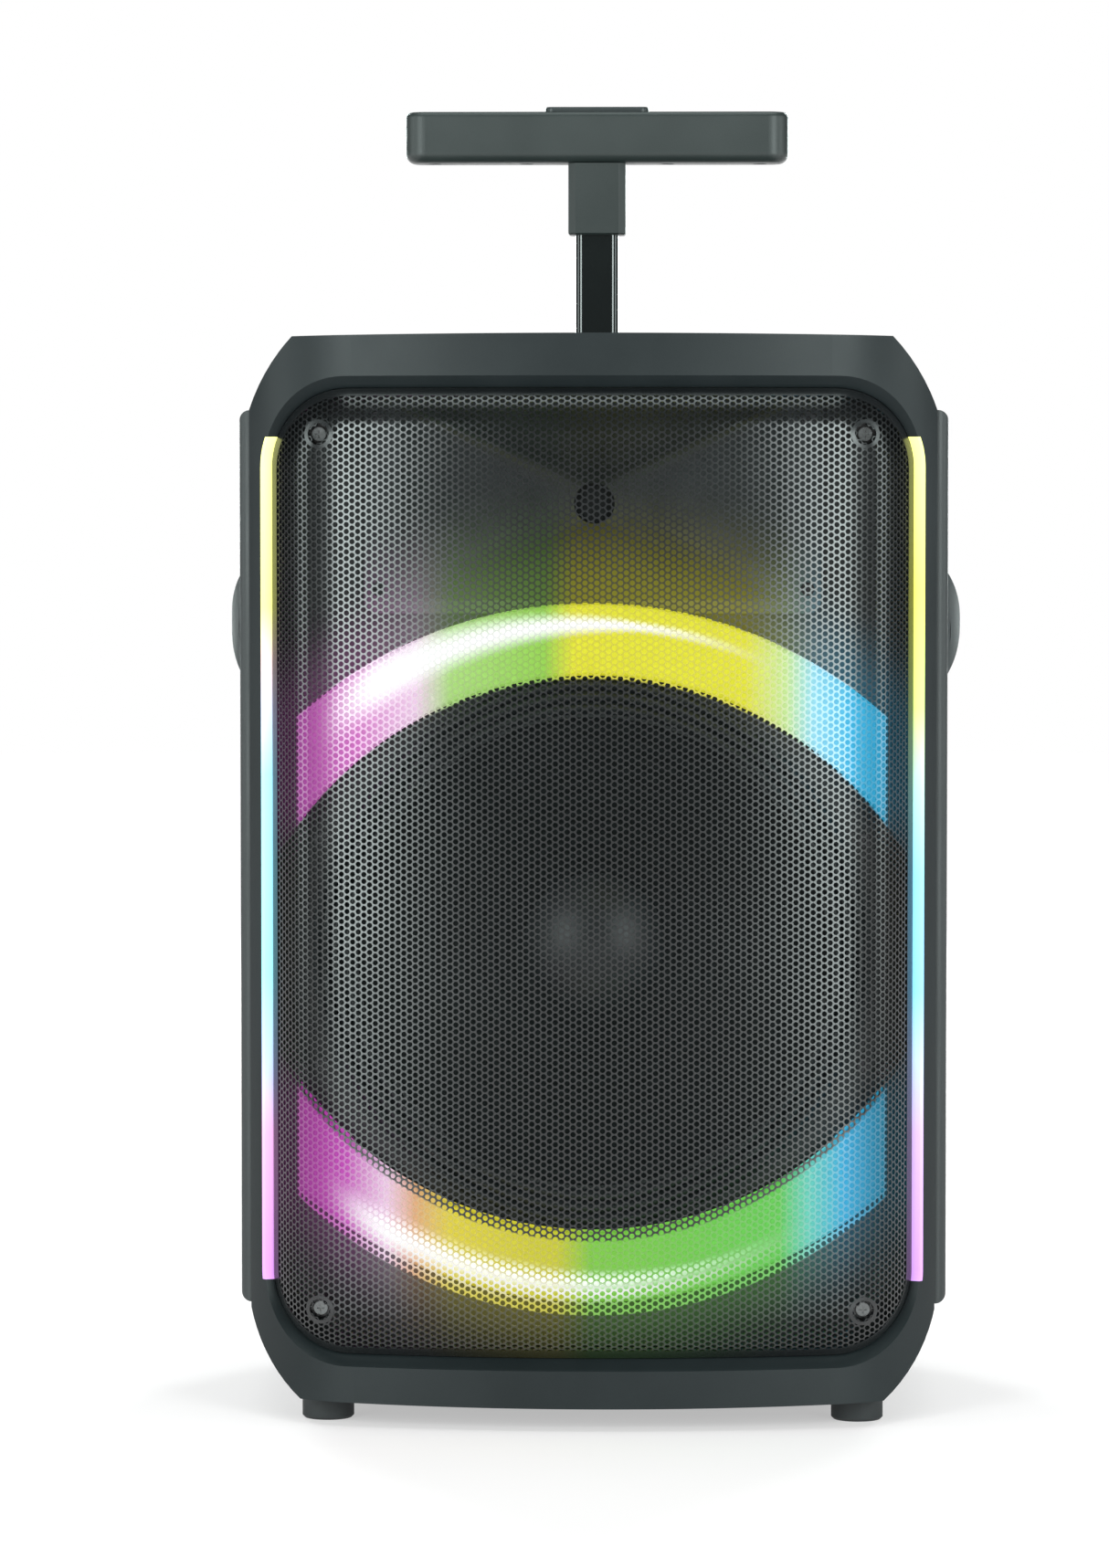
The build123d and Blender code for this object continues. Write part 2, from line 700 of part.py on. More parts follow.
def magnet_system():
    y_plate = y_baffle + basket_depth
    y_magnet = y_plate + plate_height
    y_back = y_magnet + magnet_height
    plate_radius = magnet_radius - 7
    pole = former_radius - coil_gap
    top_plate = turned([(coil_hole, y_plate), (plate_radius, y_plate),
                        (plate_radius, y_magnet), (coil_hole, y_magnet)], woofer_height)
    magnet = turned([(coil_hole + 5, y_magnet), (magnet_radius, y_magnet),
                     (magnet_radius, y_back), (coil_hole + 5, y_back)], woofer_height)
    back = turned([(0, y_plate + 1), (pole, y_plate + 1), (pole, y_back), (plate_radius, y_back),
                   (plate_radius, y_back + plate_height), (0, y_back + plate_height)], woofer_height)
    return top_plate, magnet, back


# ---------------------------------------------------------------- cabinet
def cabinet_block(inset, y_low, y_high, cut):
    """Body outline made solid, with its rear edges sloped off by cut."""
    side = half_width - inset
    high = top_z - inset
    low = base_z + inset
    plan = Polyline((-side, y_low), (-side, y_high - cut), (cut - side, y_high), (side - cut, y_high),
                    (side, y_high - cut), (side, y_low), close=True)
    profile = Polyline((y_low, low), (y_high - cut, low), (y_high, low + cut), (y_high, high - cut),
                       (y_high - cut, high), (y_low, high), close=True)
    across = Plane(origin=(-side, 0, 0), x_dir=(0, 1, 0), z_dir=(1, 0, 0))
    solid = slab(body_face(inset), y_low, y_high) & extrude(make_face(plan), amount=top_z + foot_height)
    return solid & extrude(across * make_face(profile), amount=2 * side)


def rear_cabinet():
    outer = cabinet_block(0, y_split, y_rear, rear_chamfer)
    inner = cabinet_block(cabinet_wall, y_split - 1, y_rear - cabinet_wall, rear_chamfer)
    shell = outer - inner
    for sign in (1, -1):
        housing = block(wheel_well_in - well_wall, wheel_well_out + well_wall,
                        wheel_well_front - well_wall, y_rear,
                        base_z, wheel_well_top + well_wall)
        housing = housing if sign > 0 else mirrored(housing)
        shell = shell + (housing & outer)
    for sign in (1, -1):
        hollow = block(wheel_well_in, wheel_well_out, wheel_well_front, y_rear + 5, 0, wheel_well_top)
        axle = rod_x(wheel_y, wheel_z, axle_radius, wheel_well_in - 10, wheel_well_out + 10)
        pocket = pocket_block(pocket_wall + 0.3, half_width - 30, half_width + 1)
        port = rod_y(port_x, port_z, port_radius + port_wall + 0.2, y_rear - 10, y_rear + 1)
        for cutter in (hollow, axle, pocket, port):
            shell = shell - (cutter if sign > 0 else mirrored(cutter))
    well_wide = collar_width + 2 * (well_gap + well_wall_thick + 0.3)
    well_deep = collar_depth + 2 * (well_gap + well_wall_thick + 0.3)
    shell = shell - block(-well_wide / 2, well_wide / 2, handle_setback - well_deep / 2,
                          handle_setback + well_deep / 2, top_z - 12, top_z + 1)
    shell = shell - slab(Pos(0, tray_z) * rounded(tray_width, tray_height, 6), y_rear - 10, y_rear + 1)
    for x, z in tray_screw_places:
        shell = shell - rod_y(x, z, screw_shank_radius, y_rear - 10, y_rear + 1)
    return shell


def pocket_block(grow, x_low, x_high):
    """Rounded block on the right side, around the hand pocket."""
    face = rounded(pocket_length + 2 * grow, pocket_height + 2 * grow, pocket_round + grow)
    side = Plane(origin=(x_low, pocket_y, pocket_z), x_dir=(0, 1, 0), z_dir=(1, 0, 0))
    return extrude(side * face, amount=x_high - x_low)


def side_panel():
    z_low = base_z + crown + base_corner_drop
    z_high = top_z - crown - top_corner_drop
    panel = block(half_width, half_width + panel_thick, y_split + panel_front_gap,
                  y_rear - panel_rear_gap, z_low, z_high)
    outer = panel.faces().sort_by(Axis.X)[-1]
    panel = fillet(outer.edges(), panel_thick - 1.5)
    return panel - pocket_block(pocket_wall + pocket_lip + 0.3, half_width - 1, half_width + 20)


def side_handle():
    x_face = half_width + panel_thick
    x_back = half_width - pocket_depth
    cup = pocket_block(pocket_wall, x_back, x_face)
    cup = cup + pocket_block(pocket_wall + pocket_lip, half_width, x_face)
    cup = cup - pocket_block(0, x_back + pocket_wall, x_face + 1)
    z_low = side_handle_height - brow_height / 2
    z_high = side_handle_height + brow_height / 2
    y_low = pocket_y - pocket_length / 2 - pocket_wall - 2
    y_high = pocket_y + pocket_length / 2 + pocket_wall + 2
    lens = section_pillow(x_face, brow_proud, x_face - brow_wall, z_low, z_high, y_low, y_high)
    inner = section_pillow(x_face - brow_wall, brow_proud, x_face - brow_wall - 4, z_low - 1, z_high - 8,
                           y_low + 10, y_high - 10)
    bulge = Plane(origin=(0, 0, z_low), x_dir=(1, 0, 0), z_dir=(0, 0, 1)) * make_face([
        ThreePointArc((x_face, y_low), (x_face + brow_proud + 0.5, pocket_y), (x_face, y_high)),
        Line((x_face, y_high), (x_face - 30, y_high)),
        Line((x_face - 30, y_high), (x_face - 30, y_low)),
        Line((x_face - 30, y_low), (x_face, y_low))])
    brow = (lens - inner) & extrude(bulge, amount=brow_height)
    inside = pocket_block(pocket_wall, x_back, half_width)
    brow = brow & (inside + pocket_block(pocket_wall + pocket_lip, half_width, x_face + 2 * brow_proud))
    return cup + brow


def section_pillow(x_edge, proud, x_flat, z_low, z_high, y_low, y_high):
    """D-shaped bar along Y: flat towards the pocket, bulging outwards."""
    middle = (z_low + z_high) / 2
    face = make_face([ThreePointArc((x_edge, z_low), (x_edge + proud, middle), (x_edge, z_high)),
                      Line((x_edge, z_high), (x_flat, z_high)),
                      Line((x_flat, z_high), (x_flat, z_low)),
                      Line((x_flat, z_low), (x_edge, z_low))])
    return slab(face, y_low, y_high)


def foot(x, y):
    post = Pos(x, y, 0) * extrude(Circle(foot_radius), amount=foot_height + 12)
    post = chamfer(post.edges().group_by(Axis.Z)[0], 1.5)
    return post - slab(body_face(), y - 2 * foot_radius, y + 2 * foot_radius)


# ---------------------------------------------------------------- wheels
def tyre():
    tread = rod_x(wheel_y, wheel_z, wheel_radius, wheel_x - wheel_width / 2, wheel_x + wheel_width / 2)
    tread = fillet(tread.edges(), 4)
    return tread - rod_x(wheel_y, wheel_z, wheel_radius - tyre_thickness, 0, half_width)


def wheel_hub():
    half = wheel_width / 2 - 2
    rim = wheel_radius - tyre_thickness
    hub = rod_x(wheel_y, wheel_z, rim, wheel_x - half, wheel_x + half)
    for x_low, x_high in ((wheel_x - half, wheel_x - 3), (wheel_x + 3, wheel_x + half)):
        dish = rod_x(wheel_y, wheel_z, rim - 4, x_low, x_high)
        hub = hub - (dish - rod_x(wheel_y, wheel_z, axle_radius + 4, x_low, x_high))
    for turn in range(5):
        away = (rim + axle_radius) / 2
        angle = math.radians(90 + 72 * turn)
        y = wheel_y + away * math.cos(angle)
        z = wheel_z + away * math.sin(angle)
        hub = hub - rod_x(y, z, hub_hole_radius, 0, half_width)
    return hub - rod_x(wheel_y, wheel_z, axle_radius + axle_clearance, 0, half_width)


def wheel_axle():
    return rod_x(wheel_y, wheel_z, axle_radius, wheel_well_in - 8, wheel_well_out + 5)


# ---------------------------------------------------------------- telescopic handle
def tube_block(grow, z_low, z_high):
    """Rounded rectangular bar on the handle's axis, grown all round from the inner tube's size."""
    face = rounded(tube_width + 2 * grow, tube_depth + 2 * grow, tube_corner + grow)
    return Pos(0, handle_setback, z_low) * extrude(face, amount=z_high - z_low)


def plate_block(wide, deep, radius, z_low, z_high):
    return Pos(0, handle_setback, z_low) * extrude(rounded(wide, deep, radius), amount=z_high - z_low)


def inner_tube():
    return tube_block(0, z_inner_base, z_tube_head) - tube_block(-tube_wall, z_inner_base, z_tube_head)


def middle_tube():
    outer = slide_gap + tube_wall
    tube = tube_block(outer, z_middle_base, z_middle_top)
    return tube - tube_block(slide_gap, z_middle_base, z_middle_top)


def guide_sleeve():
    bore = 2 * slide_gap + tube_wall
    sleeve = tube_block(bore + 2, z_sleeve_base - 3, z_well_floor)
    sleeve = sleeve - tube_block(bore, z_sleeve_base, z_well_floor)
    foot_plate = plate_block(60, 26, 3, z_sleeve_base - 6, z_sleeve_base - 3)
    return sleeve + foot_plate


def handle_well():
    """Liner that the collar drops into, with a rim on the top of the body."""
    wide = collar_width + 2 * well_gap
    deep = collar_depth + 2 * well_gap
    liner = plate_block(wide + 2 * well_wall_thick, deep + 2 * well_wall_thick, 4, z_well_floor, top_z)
    rim = plate_block(wide + 2 * well_rim, deep + 2 * well_rim, 9, top_z, top_z + rest_pad_height / 2)
    rim = chamfer(rim.edges().group_by(Axis.Z)[-1], 1)
    hollow = plate_block(wide, deep, 3, z_well_floor + 2, top_z + 5)
    bore = tube_block(2 * slide_gap + tube_wall, z_well_floor - 1, top_z + 5)
    return liner + rim - hollow - bore


def handle_collar():
    """Sleeve under the grip with bevelled corners, bored for the inner tube."""
    middle = (z_collar_base + z_grip_base) / 2
    shape = Pos(0, handle_setback, middle) * Box(collar_width, collar_depth, collar_height)
    shape = chamfer(shape.edges().filter_by(Axis.Z), (collar_width - tube_width) / 2)
    shape = chamfer(shape.edges().group_by(Axis.Z)[0], 1)
    shape = shape - tube_block(0, z_collar_base - 1, z_tube_head)
    return shape - rod_z(0, handle_setback, rod_radius + 0.5, z_collar_base, z_grip_base + 1)


def grip_base():
    z_low = z_grip_base
    z_high = z_grip_base + grip_base_height
    shell = plate_block(grip_width, grip_depth, grip_end_radius, z_low, z_high)
    shell = fillet(shell.edges().group_by(Axis.Z)[0], 6.5)
    inner = plate_block(grip_width - 2 * grip_wall, grip_depth - 2 * grip_wall,
                        grip_end_radius - grip_wall, z_low + grip_wall, z_high)
    inner = fillet(inner.edges().group_by(Axis.Z)[0], 4)
    shell = shell - inner
    for x in grip_screw_spots:
        shell = shell + rod_z(x, handle_setback, 5.6, z_low + grip_wall - 0.5, z_high)
        shell = shell - rod_z(x, handle_setback, screw_head_radius + 0.2, z_low - 1, z_screw_seat)
        shell = shell - rod_z(x, handle_setback, screw_shank_radius, z_low, z_high)
    shell = shell + rod_z(0, handle_setback, 8, z_low + 1, z_low + grip_wall + 2)
    return shell - rod_z(0, handle_setback, rod_radius + 0.5, z_low - 1, z_high)


def grip_cap():
    z_low = z_grip_base + grip_base_height
    z_high = z_low + grip_cap_height
    shell = plate_block(grip_width, grip_depth, grip_end_radius, z_low, z_high)
    shell = fillet(shell.edges().group_by(Axis.Z)[-1], 3.5)
    shell = shell - plate_block(grip_width - 2 * grip_wall, grip_depth - 2 * grip_wall,
                                grip_end_radius - grip_wall, z_low, z_high - grip_wall)
    for x in grip_screw_spots:
        shell = shell + rod_z(x, handle_setback, 5.6, z_low, z_high - 1)
        shell = shell - rod_z(x, handle_setback, screw_shank_radius, z_low, z_screw_tip)
    return shell - plate_block(button_width + 2 * button_gap, button_depth + 2 * button_gap,
                               5 + button_gap, z_low, z_high + 1)


def grip_screw(x):
    head = rod_z(x, handle_setback, screw_head_radius, z_screw_seat - screw_head_height, z_screw_seat)
    shank = rod_z(x, handle_setback, screw_shank_radius, z_screw_seat, z_screw_tip)
    cross = block(x - 2.2, x + 2.2, handle_setback - 0.5, handle_setback + 0.5,
                  z_screw_seat - screw_head_height, z_screw_seat - 1.2)
    return head + shank - cross


def release_button():
    z_top = z_grip_base + grip_base_height + grip_cap_height + button_rise
    key = plate_block(button_width, button_depth, 5, z_button_flange, z_top)
    key = fillet(key.edges().group_by(Axis.Z)[-1], 1.5)
    flange = plate_block(button_width + 4, button_depth + 4, 6, z_button_flange - 2.5, z_button_flange)
    return key + flange


def push_rod():
    return rod_z(0, handle_setback, rod_radius, z_inner_base + 12, z_button_flange - 2.5)


def release_spring():
    z_low = z_grip_base + grip_wall + 2 + spring_wire / 2
    z_high = z_button_flange - 2.5 - spring_wire / 2 - 0.3
    height = z_high - z_low
    coil = Helix(pitch=height / spring_turns, height=height, radius=rod_radius + 2.2)
    start = Plane(origin=coil @ 0, z_dir=coil % 0)
    wire = sweep(start * Circle(spring_wire / 2), path=coil, is_frenet=True)
    return Pos(0, handle_setback, z_low) * wire


def rest_pad(x):
    outline = rounded(rest_pad_length, rest_pad_width, 6)
    pad = extrude(outline, amount=rest_pad_root + rest_pad_height)
    pad = Pos(x, handle_setback, top_z - rest_pad_root) * pad
    pad = fillet(pad.edges().group_by(Axis.Z)[-1], 1.5)
    return pad - slab(body_face(), handle_setback - 40, handle_setback + 40)


# ---------------------------------------------------------------- rear control panel
def control_panel():
    wide = tray_width - 2 * tray_fit
    high = tray_height - 2 * tray_fit
    y_floor = y_rear - tray_depth
    tray = slab(Pos(0, tray_z) * rounded(wide, high, 6), y_floor - tray_wall, y_rear)
    rim = rounded(wide + 2 * tray_flange, high + 2 * tray_flange, 8)
    flange = slab(Pos(0, tray_z) * rim, y_rear, y_rear + 2)
    tray = tray + chamfer(flange.faces().sort_by(Axis.Y)[-1].edges(), 1)
    tray = tray - slab(Pos(0, tray_z) * rounded(wide - 2 * tray_wall, high - 2 * tray_wall, 4),
                       y_floor, y_rear + 3)
    for x, z, radius in knob_places.values():
        tray = tray - rod_y(x, z, shaft_radius + shaft_clearance, y_floor - 5, y_floor + 1)
    for x, z in key_places.values():
        tray = tray - slab(Pos(x, z) * rounded(key_width + 2 * key_gap, key_high + 2 * key_gap, 2.4),
                           y_floor - 5, y_floor + 1)
    for x, z, radius in socket_places:
        tray = tray - rod_y(x, z, radius, y_floor - 5, y_floor + 1)
    tray = tray - slab(Pos(usb_x, usb_z) * Rectangle(usb_width, usb_high), y_floor - 5, y_floor + 1)
    mains_slot = rounded(inlet_width, inlet_high, 3)
    tray = tray - slab(Pos(inlet_x, inlet_z) * mains_slot, y_floor - 5, y_floor + 1)
    rocker_slot = Rectangle(rocker_width + 2 * rocker_gap, rocker_high + 2 * rocker_gap)
    tray = tray - slab(Pos(rocker_x, inlet_z) * rocker_slot, y_floor - 5, y_floor + 1)
    window = slab(Pos(0, display_z) * rounded(display_width, display_high, 3), y_floor - 1.2, y_floor + 1)
    tray = tray - window
    for x, z in tray_screw_places:
        tray = tray - rod_y(x, z, screw_shank_radius, y_rear - 5, y_rear + 3)
    return tray


def knob(x, z, radius):
    """Fluted knob with its shaft through the panel."""
    y_floor = y_rear - tray_depth
    y_low = y_floor + knob_float
    y_high = y_low + knob_height
    cap = rod_y(x, z, radius, y_low, y_high)
    cap = chamfer(cap.faces().sort_by(Axis.Y)[-1].edges(), 1)
    flutes = 12
    for turn in range(flutes):
        angle = 2 * math.pi * turn / flutes
        cap = cap - rod_y(x + (radius + 0.6) * math.cos(angle), z + (radius + 0.6) * math.sin(angle),
                          1.2, y_low + 2, y_high)
    pointer = block(x - 0.6, x + 0.6, y_high - 0.6, y_high + 1, z + radius * 0.45, z + radius * 0.85)
    return cap - pointer + rod_y(x, z, shaft_radius, y_pot, y_low)


def panel_key(x, z):
    y_floor = y_rear - tray_depth
    key = slab(Pos(x, z) * rounded(key_width, key_high, 2), y_floor - 4, y_floor + 3)
    key = fillet(key.faces().sort_by(Axis.Y)[-1].edges(), 0.8)
    outline = rounded(key_width + 3, key_high + 3, 3)
    flange = slab(Pos(x, z) * outline, y_floor - 5.5, y_floor - tray_wall - 0.1)
    return key + flange


def power_rocker():
    y_floor = y_rear - tray_depth
    half = rocker_high / 2
    rocker = make_face(Polyline((y_floor - 3.5, -half), (y_floor + 2.4, -half), (y_floor + 0.9, 0),
                                (y_floor + 2.4, half), (y_floor - 3.5, half), (y_floor - 5, 0), close=True))
    plane = Plane(origin=(rocker_x - rocker_width / 2, 0, inlet_z), x_dir=(0, 1, 0), z_dir=(1, 0, 0))
    bar = extrude(plane * rocker, amount=rocker_width)
    hub = Pos(0, y_floor - 2, inlet_z)
    return hub * Rot(-rocker_tilt, 0, 0) * hub.inverse() * bar


def sockets():
    """Microphone jacks, line sockets, memory slot and mains inlet, each a piece of its own."""
    y_floor = y_rear - tray_depth
    pieces = []
    for x, z, radius in socket_places:
        bore = radius - 1.6
        nut = slab(Pos(x, z) * RegularPolygon(radius + 2.5, 6), y_floor, y_floor + 2.5)
        barrel = rod_y(x, z, radius, y_floor - tray_wall - 14, y_floor + 4)
        pieces.append(nut + barrel - rod_y(x, z, bore, y_floor - tray_wall - 12, y_floor + 5))
    shell = slab(Pos(usb_x, usb_z) * Rectangle(usb_width, usb_high), y_floor - 14, y_floor)
    mouth = Rectangle(usb_width - 1, usb_high - 1)
    shell = shell - slab(Pos(usb_x, usb_z) * mouth, y_floor - 13, y_floor + 1)
    tongue = block(usb_x - 5.5, usb_x + 5.5, y_floor - 13, y_floor - 3, usb_z + 0.3, usb_z + 1.9)
    pieces.append(shell + tongue)
    inlet = slab(Pos(inlet_x, inlet_z) * rounded(inlet_width, inlet_high, 3), y_floor - 16, y_floor)
    lip = slab(Pos(inlet_x, inlet_z) * rounded(inlet_width + 5, inlet_high + 5, 4), y_floor, y_floor + 2)
    bore = rounded(inlet_width - 4, inlet_high - 4, 4)
    hole = slab(Pos(inlet_x, inlet_z) * bore, y_floor - 12, y_floor + 3)
    blades = [rod_y(inlet_x + sign * 4.5, inlet_z, 1.2, y_floor - 12.5, y_floor - 3) for sign in (1, -1)]
    pieces.append(inlet + lip - hole + blades[0] + blades[1])
    return Compound(pieces)


def amplifier_board():
    board = block(-76, 76, y_pot - 12, y_pot - 10.4, tray_z - 88, tray_z + 88)
    for x, z, radius in knob_places.values():
        board = board + block(x - 8, x + 8, y_pot - 10.5, y_pot - 0.2, z - 8, z + 8)
    for x, z, radius in ((-50, tray_z + 60, 8), (-28, tray_z + 60, 8), (56, tray_z + 60, 8)):
        board = board + rod_y(x, z, radius, y_pot - 10.5, y_pot - 1)
    return board


def battery():
    case = block(-75, 75, handle_setback - 10, handle_setback + 54, base_z + cabinet_wall + 1.4,
                 base_z + cabinet_wall + 95)
    case = fillet(case.edges(), 2)
    posts = [block(x - 3, x + 3, handle_setback, handle_setback + 6, base_z + cabinet_wall + 94,
                   base_z + cabinet_wall + 101) for x in (-60, 60)]
    return case + posts[0] + posts[1]


def port_tube():
    mouth = port_radius + port_wall
    tube = rod_y(port_x, port_z, mouth, y_rear - port_length, y_rear)
    lip = rod_y(port_x, port_z, mouth + 5, y_rear, y_rear + 2)
    hole = rod_y(port_x, port_z, port_radius, y_rear - port_length, y_rear + 2)
    tube = tube + chamfer(lip.edges().group_by(Axis.Y)[-1], 1) - hole
    return tube


# ---------------------------------------------------------------- every piece, by name
def everything():
    pieces = {
        "front_bezel": front_bezel(),
        "rear_cabinet": rear_cabinet(),
        "grille": grille(),
        "baffle": baffle(),
        "light_arc_upper": light_arc(1),
        "light_arc_lower": light_arc(-1),
        "led_boards": led_boards(),
        "horn": horn(),
        "compression_driver": compression_driver(),
        "woofer_frame": woofer_frame(),
        "woofer_surround": woofer_surround(),
        "woofer_cone": woofer_cone(),
        "dust_cap": dust_cap(),
        "woofer_spider": woofer_spider(),
        "voice_coil": voice_coil(),
        "handle_well": handle_well(),
        "guide_sleeve": guide_sleeve(),
        "middle_tube": middle_tube(),
        "inner_tube": inner_tube(),
        "handle_collar": handle_collar(),
        "grip_base": grip_base(),
        "grip_cap": grip_cap(),
        "release_button": release_button(),
        "push_rod": push_rod(),
        "release_spring": release_spring(),
        "control_panel": control_panel(),
        "power_rocker": power_rocker(),
        "sockets": sockets(),
        "amplifier_board": amplifier_board(),
        "battery": battery(),
    }
    strips = light_strips()
    pieces["led_strip_left"] = strips[0]
    pieces["led_strip_right"] = strips[-1]
    top_plate, magnet, back_plate = magnet_system()
    pieces["woofer_top_plate"] = top_plate
    pieces["woofer_magnet"] = magnet
    pieces["woofer_back_plate"] = back_plate
    pieces["display_window"] = slab(Pos(0, display_z) * rounded(display_width, display_high, 3),
                                    y_rear - tray_depth - 1.2, y_rear - tray_depth + 0.3)
    for name, (x, z, radius) in knob_places.items():
        pieces[name] = knob(x, z, radius)
    for name, (x, z) in key_places.items():
        pieces[name] = panel_key(x, z)
    for name, shape in (("side_panel", side_panel()), ("side_handle", side_handle()),
                        ("wheel_hub", wheel_hub()), ("wheel_tyre", tyre())):
        pieces[name + "_right"] = shape
        pieces[name + "_left"] = mirrored(shape)

    axle = wheel_axle()
    port = port_tube()
    pieces["wheel_axles"] = Compound([axle, mirrored(axle)])
    pieces["port_tubes"] = Compound([port, mirrored(port)])
    pieces["rest_pads"] = Compound([rest_pad(side * rest_pad_x) for side in (-1, 1)])
    pieces["feet"] = Compound([foot(side * x, y) for side in (-1, 1)
                               for x, y in ((front_foot_x, front_foot_y), (rear_foot_x, rear_foot_y))])
    pieces["grip_screws"] = Compound([grip_screw(x) for x in grip_screw_spots])
    pieces["grille_screws"] = Compound([screw_y(x, z, y_dimple_floor, 14) for x, z in grille_screw_places])
    pieces["tray_screws"] = Compound([screw_y(x, z, y_rear + 2, 8, False) for x, z in tray_screw_places])
    pieces["driver_screws"] = Compound(
        [screw_y(x, z, y_baffle, 14) for x, z in frame_screw_places + baffle_screw_places]
        + [screw_y(x, z, y_baffle - horn_flange, 16) for x, z in horn_screw_places])
    return pieces


os.makedirs("parts", exist_ok=True)
for piece_name, piece in everything().items():
    export_step(piece, f"parts/{piece_name}.step")
    print(piece_name, len(piece.solids()), round(piece.volume))
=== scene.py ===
import bpy
import math
import numpy as np
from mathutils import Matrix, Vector


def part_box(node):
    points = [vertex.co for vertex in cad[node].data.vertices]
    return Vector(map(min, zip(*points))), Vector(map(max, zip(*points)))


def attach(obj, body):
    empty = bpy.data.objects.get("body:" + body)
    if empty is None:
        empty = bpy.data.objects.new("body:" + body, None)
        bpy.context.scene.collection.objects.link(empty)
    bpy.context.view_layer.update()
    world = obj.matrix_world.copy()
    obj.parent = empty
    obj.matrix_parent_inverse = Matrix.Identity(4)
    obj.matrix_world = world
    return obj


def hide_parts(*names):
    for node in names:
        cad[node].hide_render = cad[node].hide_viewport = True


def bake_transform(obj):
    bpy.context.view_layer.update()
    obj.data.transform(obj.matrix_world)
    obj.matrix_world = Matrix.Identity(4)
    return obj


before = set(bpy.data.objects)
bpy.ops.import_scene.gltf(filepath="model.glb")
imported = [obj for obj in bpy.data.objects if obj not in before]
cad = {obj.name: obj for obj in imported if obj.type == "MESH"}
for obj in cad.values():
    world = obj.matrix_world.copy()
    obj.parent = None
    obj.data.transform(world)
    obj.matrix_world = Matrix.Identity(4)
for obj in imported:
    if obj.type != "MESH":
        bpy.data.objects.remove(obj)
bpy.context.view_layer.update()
print("frame loaded:", len(cad), "nodes")

# values that several pieces share, in metres
body = {
    "top": 0.664,
    "windowTop": 0.6315,
    "windowBase": 0.044,
    "baffleY": -0.0991,
    "wooferZ": 0.287,
    "screwX": 0.165,
    "screwInset": 0.028,
}


# ---- small helpers for modelling
def deselectAll():
    if bpy.context.object and bpy.context.object.mode != "OBJECT":
        bpy.ops.object.mode_set(mode="OBJECT")
    bpy.ops.object.select_all(action="DESELECT")


def newest(name):
    piece = bpy.context.object
    piece.name = name
    piece.data.name = name
    return piece


def pick(piece):
    deselectAll()
    piece.select_set(True)
    bpy.context.view_layer.objects.active = piece


def editMode(piece, kind="VERT"):
    pick(piece)
    bpy.ops.object.mode_set(mode="EDIT")
    bpy.ops.mesh.select_mode(type=kind)
    bpy.ops.mesh.select_all(action="DESELECT")


def objectMode():
    bpy.ops.object.mode_set(mode="OBJECT")


def settle(piece):
    pick(piece)
    bpy.ops.object.transform_apply(location=True, rotation=True, scale=True)
    return piece


def smoothByAngle(piece, degrees=35):
    pick(piece)
    bpy.ops.object.shade_smooth_by_angle(angle=math.radians(degrees))
    return piece


def applyModifier(piece, kind, **values):
    pick(piece)
    modifier = piece.modifiers.new(kind.title(), kind)
    for key, value in values.items():
        setattr(modifier, key, value)
    bpy.ops.object.modifier_apply(modifier=modifier.name)
    return piece


def addBlock(name, low, high, bevel=0.0, segments=2):
    deselectAll()
    middle = [(a + b) / 2 for a, b in zip(low, high)]
    bpy.ops.mesh.primitive_cube_add(size=1, location=middle)
    piece = newest(name)
    piece.scale = [b - a for a, b in zip(low, high)]
    settle(piece)
    if bevel:
        applyModifier(piece, "BEVEL", width=bevel, segments=segments, limit_method="NONE")
    return smoothByAngle(piece)


def addDisc(name, centre, radius, depth, along="Y", sides=32, bevel=0.0):
    deselectAll()
    turn = {"X": (0, math.pi / 2, 0), "Y": (math.pi / 2, 0, 0), "Z": (0, 0, 0)}[along]
    bpy.ops.mesh.primitive_cylinder_add(vertices=sides, radius=radius, depth=depth, location=centre,
                                        rotation=turn)
    piece = newest(name)
    settle(piece)
    if bevel:
        applyModifier(piece, "BEVEL", width=bevel, segments=2, limit_method="ANGLE",
                      angle_limit=math.radians(50))
    return smoothByAngle(piece)


# a profile of (radius, height) points is spun round an axis; closed profiles give closed rings
def addTurned(name, profile, centre, along="Y", steps=64, closed=True):
    deselectAll()
    bpy.ops.mesh.primitive_plane_add(size=1)
    piece = newest(name)
    mesh = piece.data
    mesh.clear_geometry()
    count = len(profile)
    if along == "Y":
        points = [(centre[0] + r, centre[1] + h, centre[2]) for r, h in profile]
        axis = (0, 1, 0)
    elif along == "X":
        points = [(centre[0] + h, centre[1], centre[2] + r) for r, h in profile]
        axis = (1, 0, 0)
    else:
        points = [(centre[0] + r, centre[1], centre[2] + h) for r, h in profile]
        axis = (0, 0, 1)
    edges = [(i, i + 1) for i in range(count - 1)]
    if closed:
        edges.append((count - 1, 0))
    mesh.from_pydata(points, edges, [])
    piece.location = (0, 0, 0)
    editMode(piece)
    bpy.ops.mesh.select_all(action="SELECT")
    bpy.ops.mesh.spin(steps=steps, angle=math.tau, center=centre, axis=axis)
    bpy.ops.mesh.select_all(action="SELECT")
    bpy.ops.mesh.remove_doubles(threshold=0.00002)
    bpy.ops.mesh.select_all(action="SELECT")
    bpy.ops.mesh.normals_make_consistent(inside=False)
    objectMode()
    return smoothByAngle(piece, 40)


def joinUp(name, parts):
    deselectAll()
    for part in parts:
        part.select_set(True)
    bpy.context.view_layer.objects.active = parts[0]
    bpy.ops.object.join()
    return newest(name)


